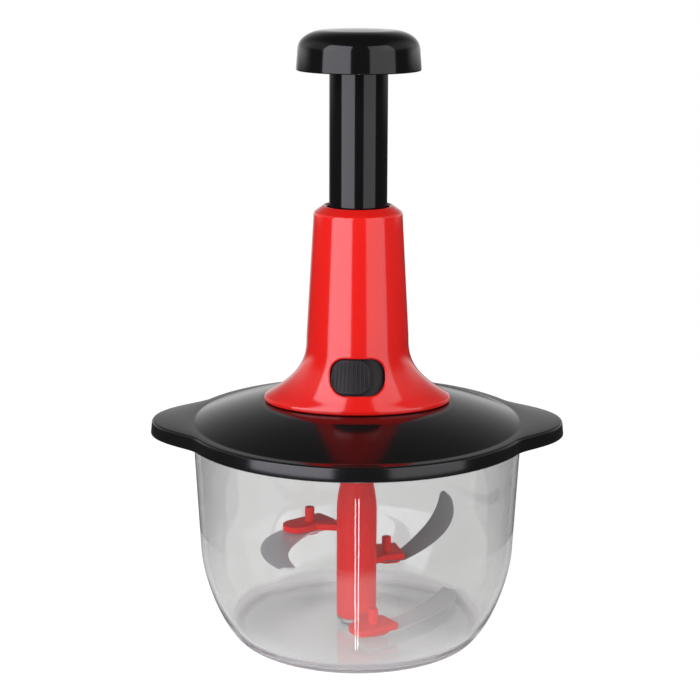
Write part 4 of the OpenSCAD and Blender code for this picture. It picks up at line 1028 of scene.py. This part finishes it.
def paintFloor(s):
    material, paint = newMaterial("paleFloor")
    plain, through, gloss = plainRays(paint)
    side, deep, _ = paint.split(paint.node("ShaderNodeTexCoord", out="Object"))
    reach = (side * side + deep * deep) ** 0.5
    # painted reflection for glossy rays only, which the lower bowl mirrors: a glowing patch before it, and a dark
    # ring of painted shadow at its foot
    edge = paint.fade(deep, s["turnIn"], 0.0, s["farR"], s["nearR"] + s["nearSoft"])
    lit = paint.fade(abs(side), s["litIn"], s["litOut"], s["paintedPatchGlow"], s["paintedSideGlow"])
    near = paint.fade(reach, s["nearR"], edge, lit, s["far"])
    dark = paint.fade(abs(reach - s["ringR"]), s["ringIn"], s["ringOut"], s["ringShadow"], 0.0)
    near = near * (1 - dark * paint.fade(deep, s["ringFront"], s["ringBack"], 1.0, 0.0))
    # painted reflection: two thin glowing lines that only glossy rays see, which spread towards the camera
    spread = (s["lineStart"] - deep) * s["lineSpread"] + 1.0
    line = paint.fade(abs(abs(side) / spread - s["lineOff"]), s["lineIn"], s["lineOut"], 1.0, 0.0)
    line = line * paint.fade(deep, s["lineEnd"], s["lineEnd"] + s["lineSoft"], 0.0, 1.0)
    line = line * paint.fade(deep, s["lineStart"] - s["lineSoft"], s["lineStart"], 1.0, 0.0)
    # painted shadow: seen through the bowl, the floor is darker under it and to the right
    shaded = paint.fade(reach, s["footR"], s["footR"] + s["underShadowSoft"], s["under"], 1.0)
    shaded = 1 - through * (1 - shaded * paint.fade(side, s["rightIn"], s["rightOut"], 1.0, s["right"]))
    chalk = paint.node("ShaderNodeBsdfDiffuse", None, {"Color": (s["chalk"], s["chalk"], s["chalk"], 1)})
    glow = paint.node("ShaderNodeEmission", None, {
        "Color": (1, 1, 1, 1), "Strength": plain * shaded * s["glow"] + gloss * (near + line * s["paintedLineGlow"])})
    paint.output(paint.node("ShaderNodeMixShader", None, {0: plain * (1 - s["shade"]) + gloss, 1: chalk, 2: glow}))
    return material


def paintWorld(s):
    world = bpy.data.worlds.new("studio")
    bpy.context.scene.world = world
    world.use_nodes = True
    paint = Paint(world.node_tree)
    plain = plainRays(paint)[0]
    side, deep, high = paint.split(paint.node("ShaderNodeTexCoord", out="Generated"))
    upper = paint.fade(high, s["horizon"], 0.0, 0.0, 1.0)
    low = paint.fade(deep, s["lowIn"], s["lowOut"], 0.0, s["lowGlow"]) * (1 - upper)
    low = low * paint.fade(side, s["leftIn"], s["leftOut"], 1.0, 0.0)
    back = paint.fade(deep, s["backIn"], s["backOut"], 0.0, 1.0) * upper + low
    flanks = paint.fade(abs(side), s["sideIn"], s["sideOut"], 0.0, s["sides"])
    flanks = flanks * paint.fade(high, s["sideLow"], s["sideHigh"], 0.0, 1.0)
    level = back * (1 - abs(high)) ** s["fall"] * s["backdrop"] + flanks + s["dark"]
    paint.output(paint.node("ShaderNodeBackground", None, {
        "Color": (1, 1, 1, 1), "Strength": level * (1 - plain) + plain}), "ShaderNodeOutputWorld")


def softBox(name, box):
    lamp = bpy.data.lights.new(name, "AREA")
    lamp.shape = "RECTANGLE"
    lamp.size, lamp.size_y = box["width"], lampRow["high"] - lampRow["low"]
    lamp.energy, lamp.color = box["power"], box["tint"]
    panel = bpy.data.objects.new(name, lamp)
    bpy.context.scene.collection.objects.link(panel)
    a = math.radians(box["turn"])
    panel.location = (lampRow["distance"] * math.sin(a), -lampRow["distance"] * math.cos(a),
                      (lampRow["high"] + lampRow["low"]) / 2)
    panel.rotation_euler = (math.radians(90), 0, a)
    panel.visible_camera = False
    panel.visible_glossy = box["mirrored"]


floorMesh = bpy.data.meshes.new("floor")
disc = bmesh.new()
bmesh.ops.create_circle(disc, cap_ends=True, segments=96, radius=stage["floorR"])
disc.to_mesh(floorMesh)
disc.free()
floor = bpy.data.objects.new("floor", floorMesh)
bpy.context.scene.collection.objects.link(floor)
floor.location.z = -stage["drop"]
floorMesh.materials.append(paintFloor(stage))
paintWorld(studio)
for name, box in softBoxes.items():
    softBox(name, box)

view = {"sensor": 36.0, "lens": 93.34, "spot": (-0.0036, -0.866, 0.3453), "down": 13.06, "tilt": -0.2, "turn": 0.05}
camera = bpy.data.cameras.new("camera")
camera.sensor_width, camera.lens = view["sensor"], view["lens"]
eye = bpy.data.objects.new("camera", camera)
bpy.context.scene.collection.objects.link(eye)
eye.location = view["spot"]
eye.rotation_euler = [math.radians(a) for a in (90 - view["down"], view["tilt"], view["turn"])]
bpy.context.scene.camera = eye
bpy.context.scene.view_settings.view_transform = "Standard"
print("stage set")
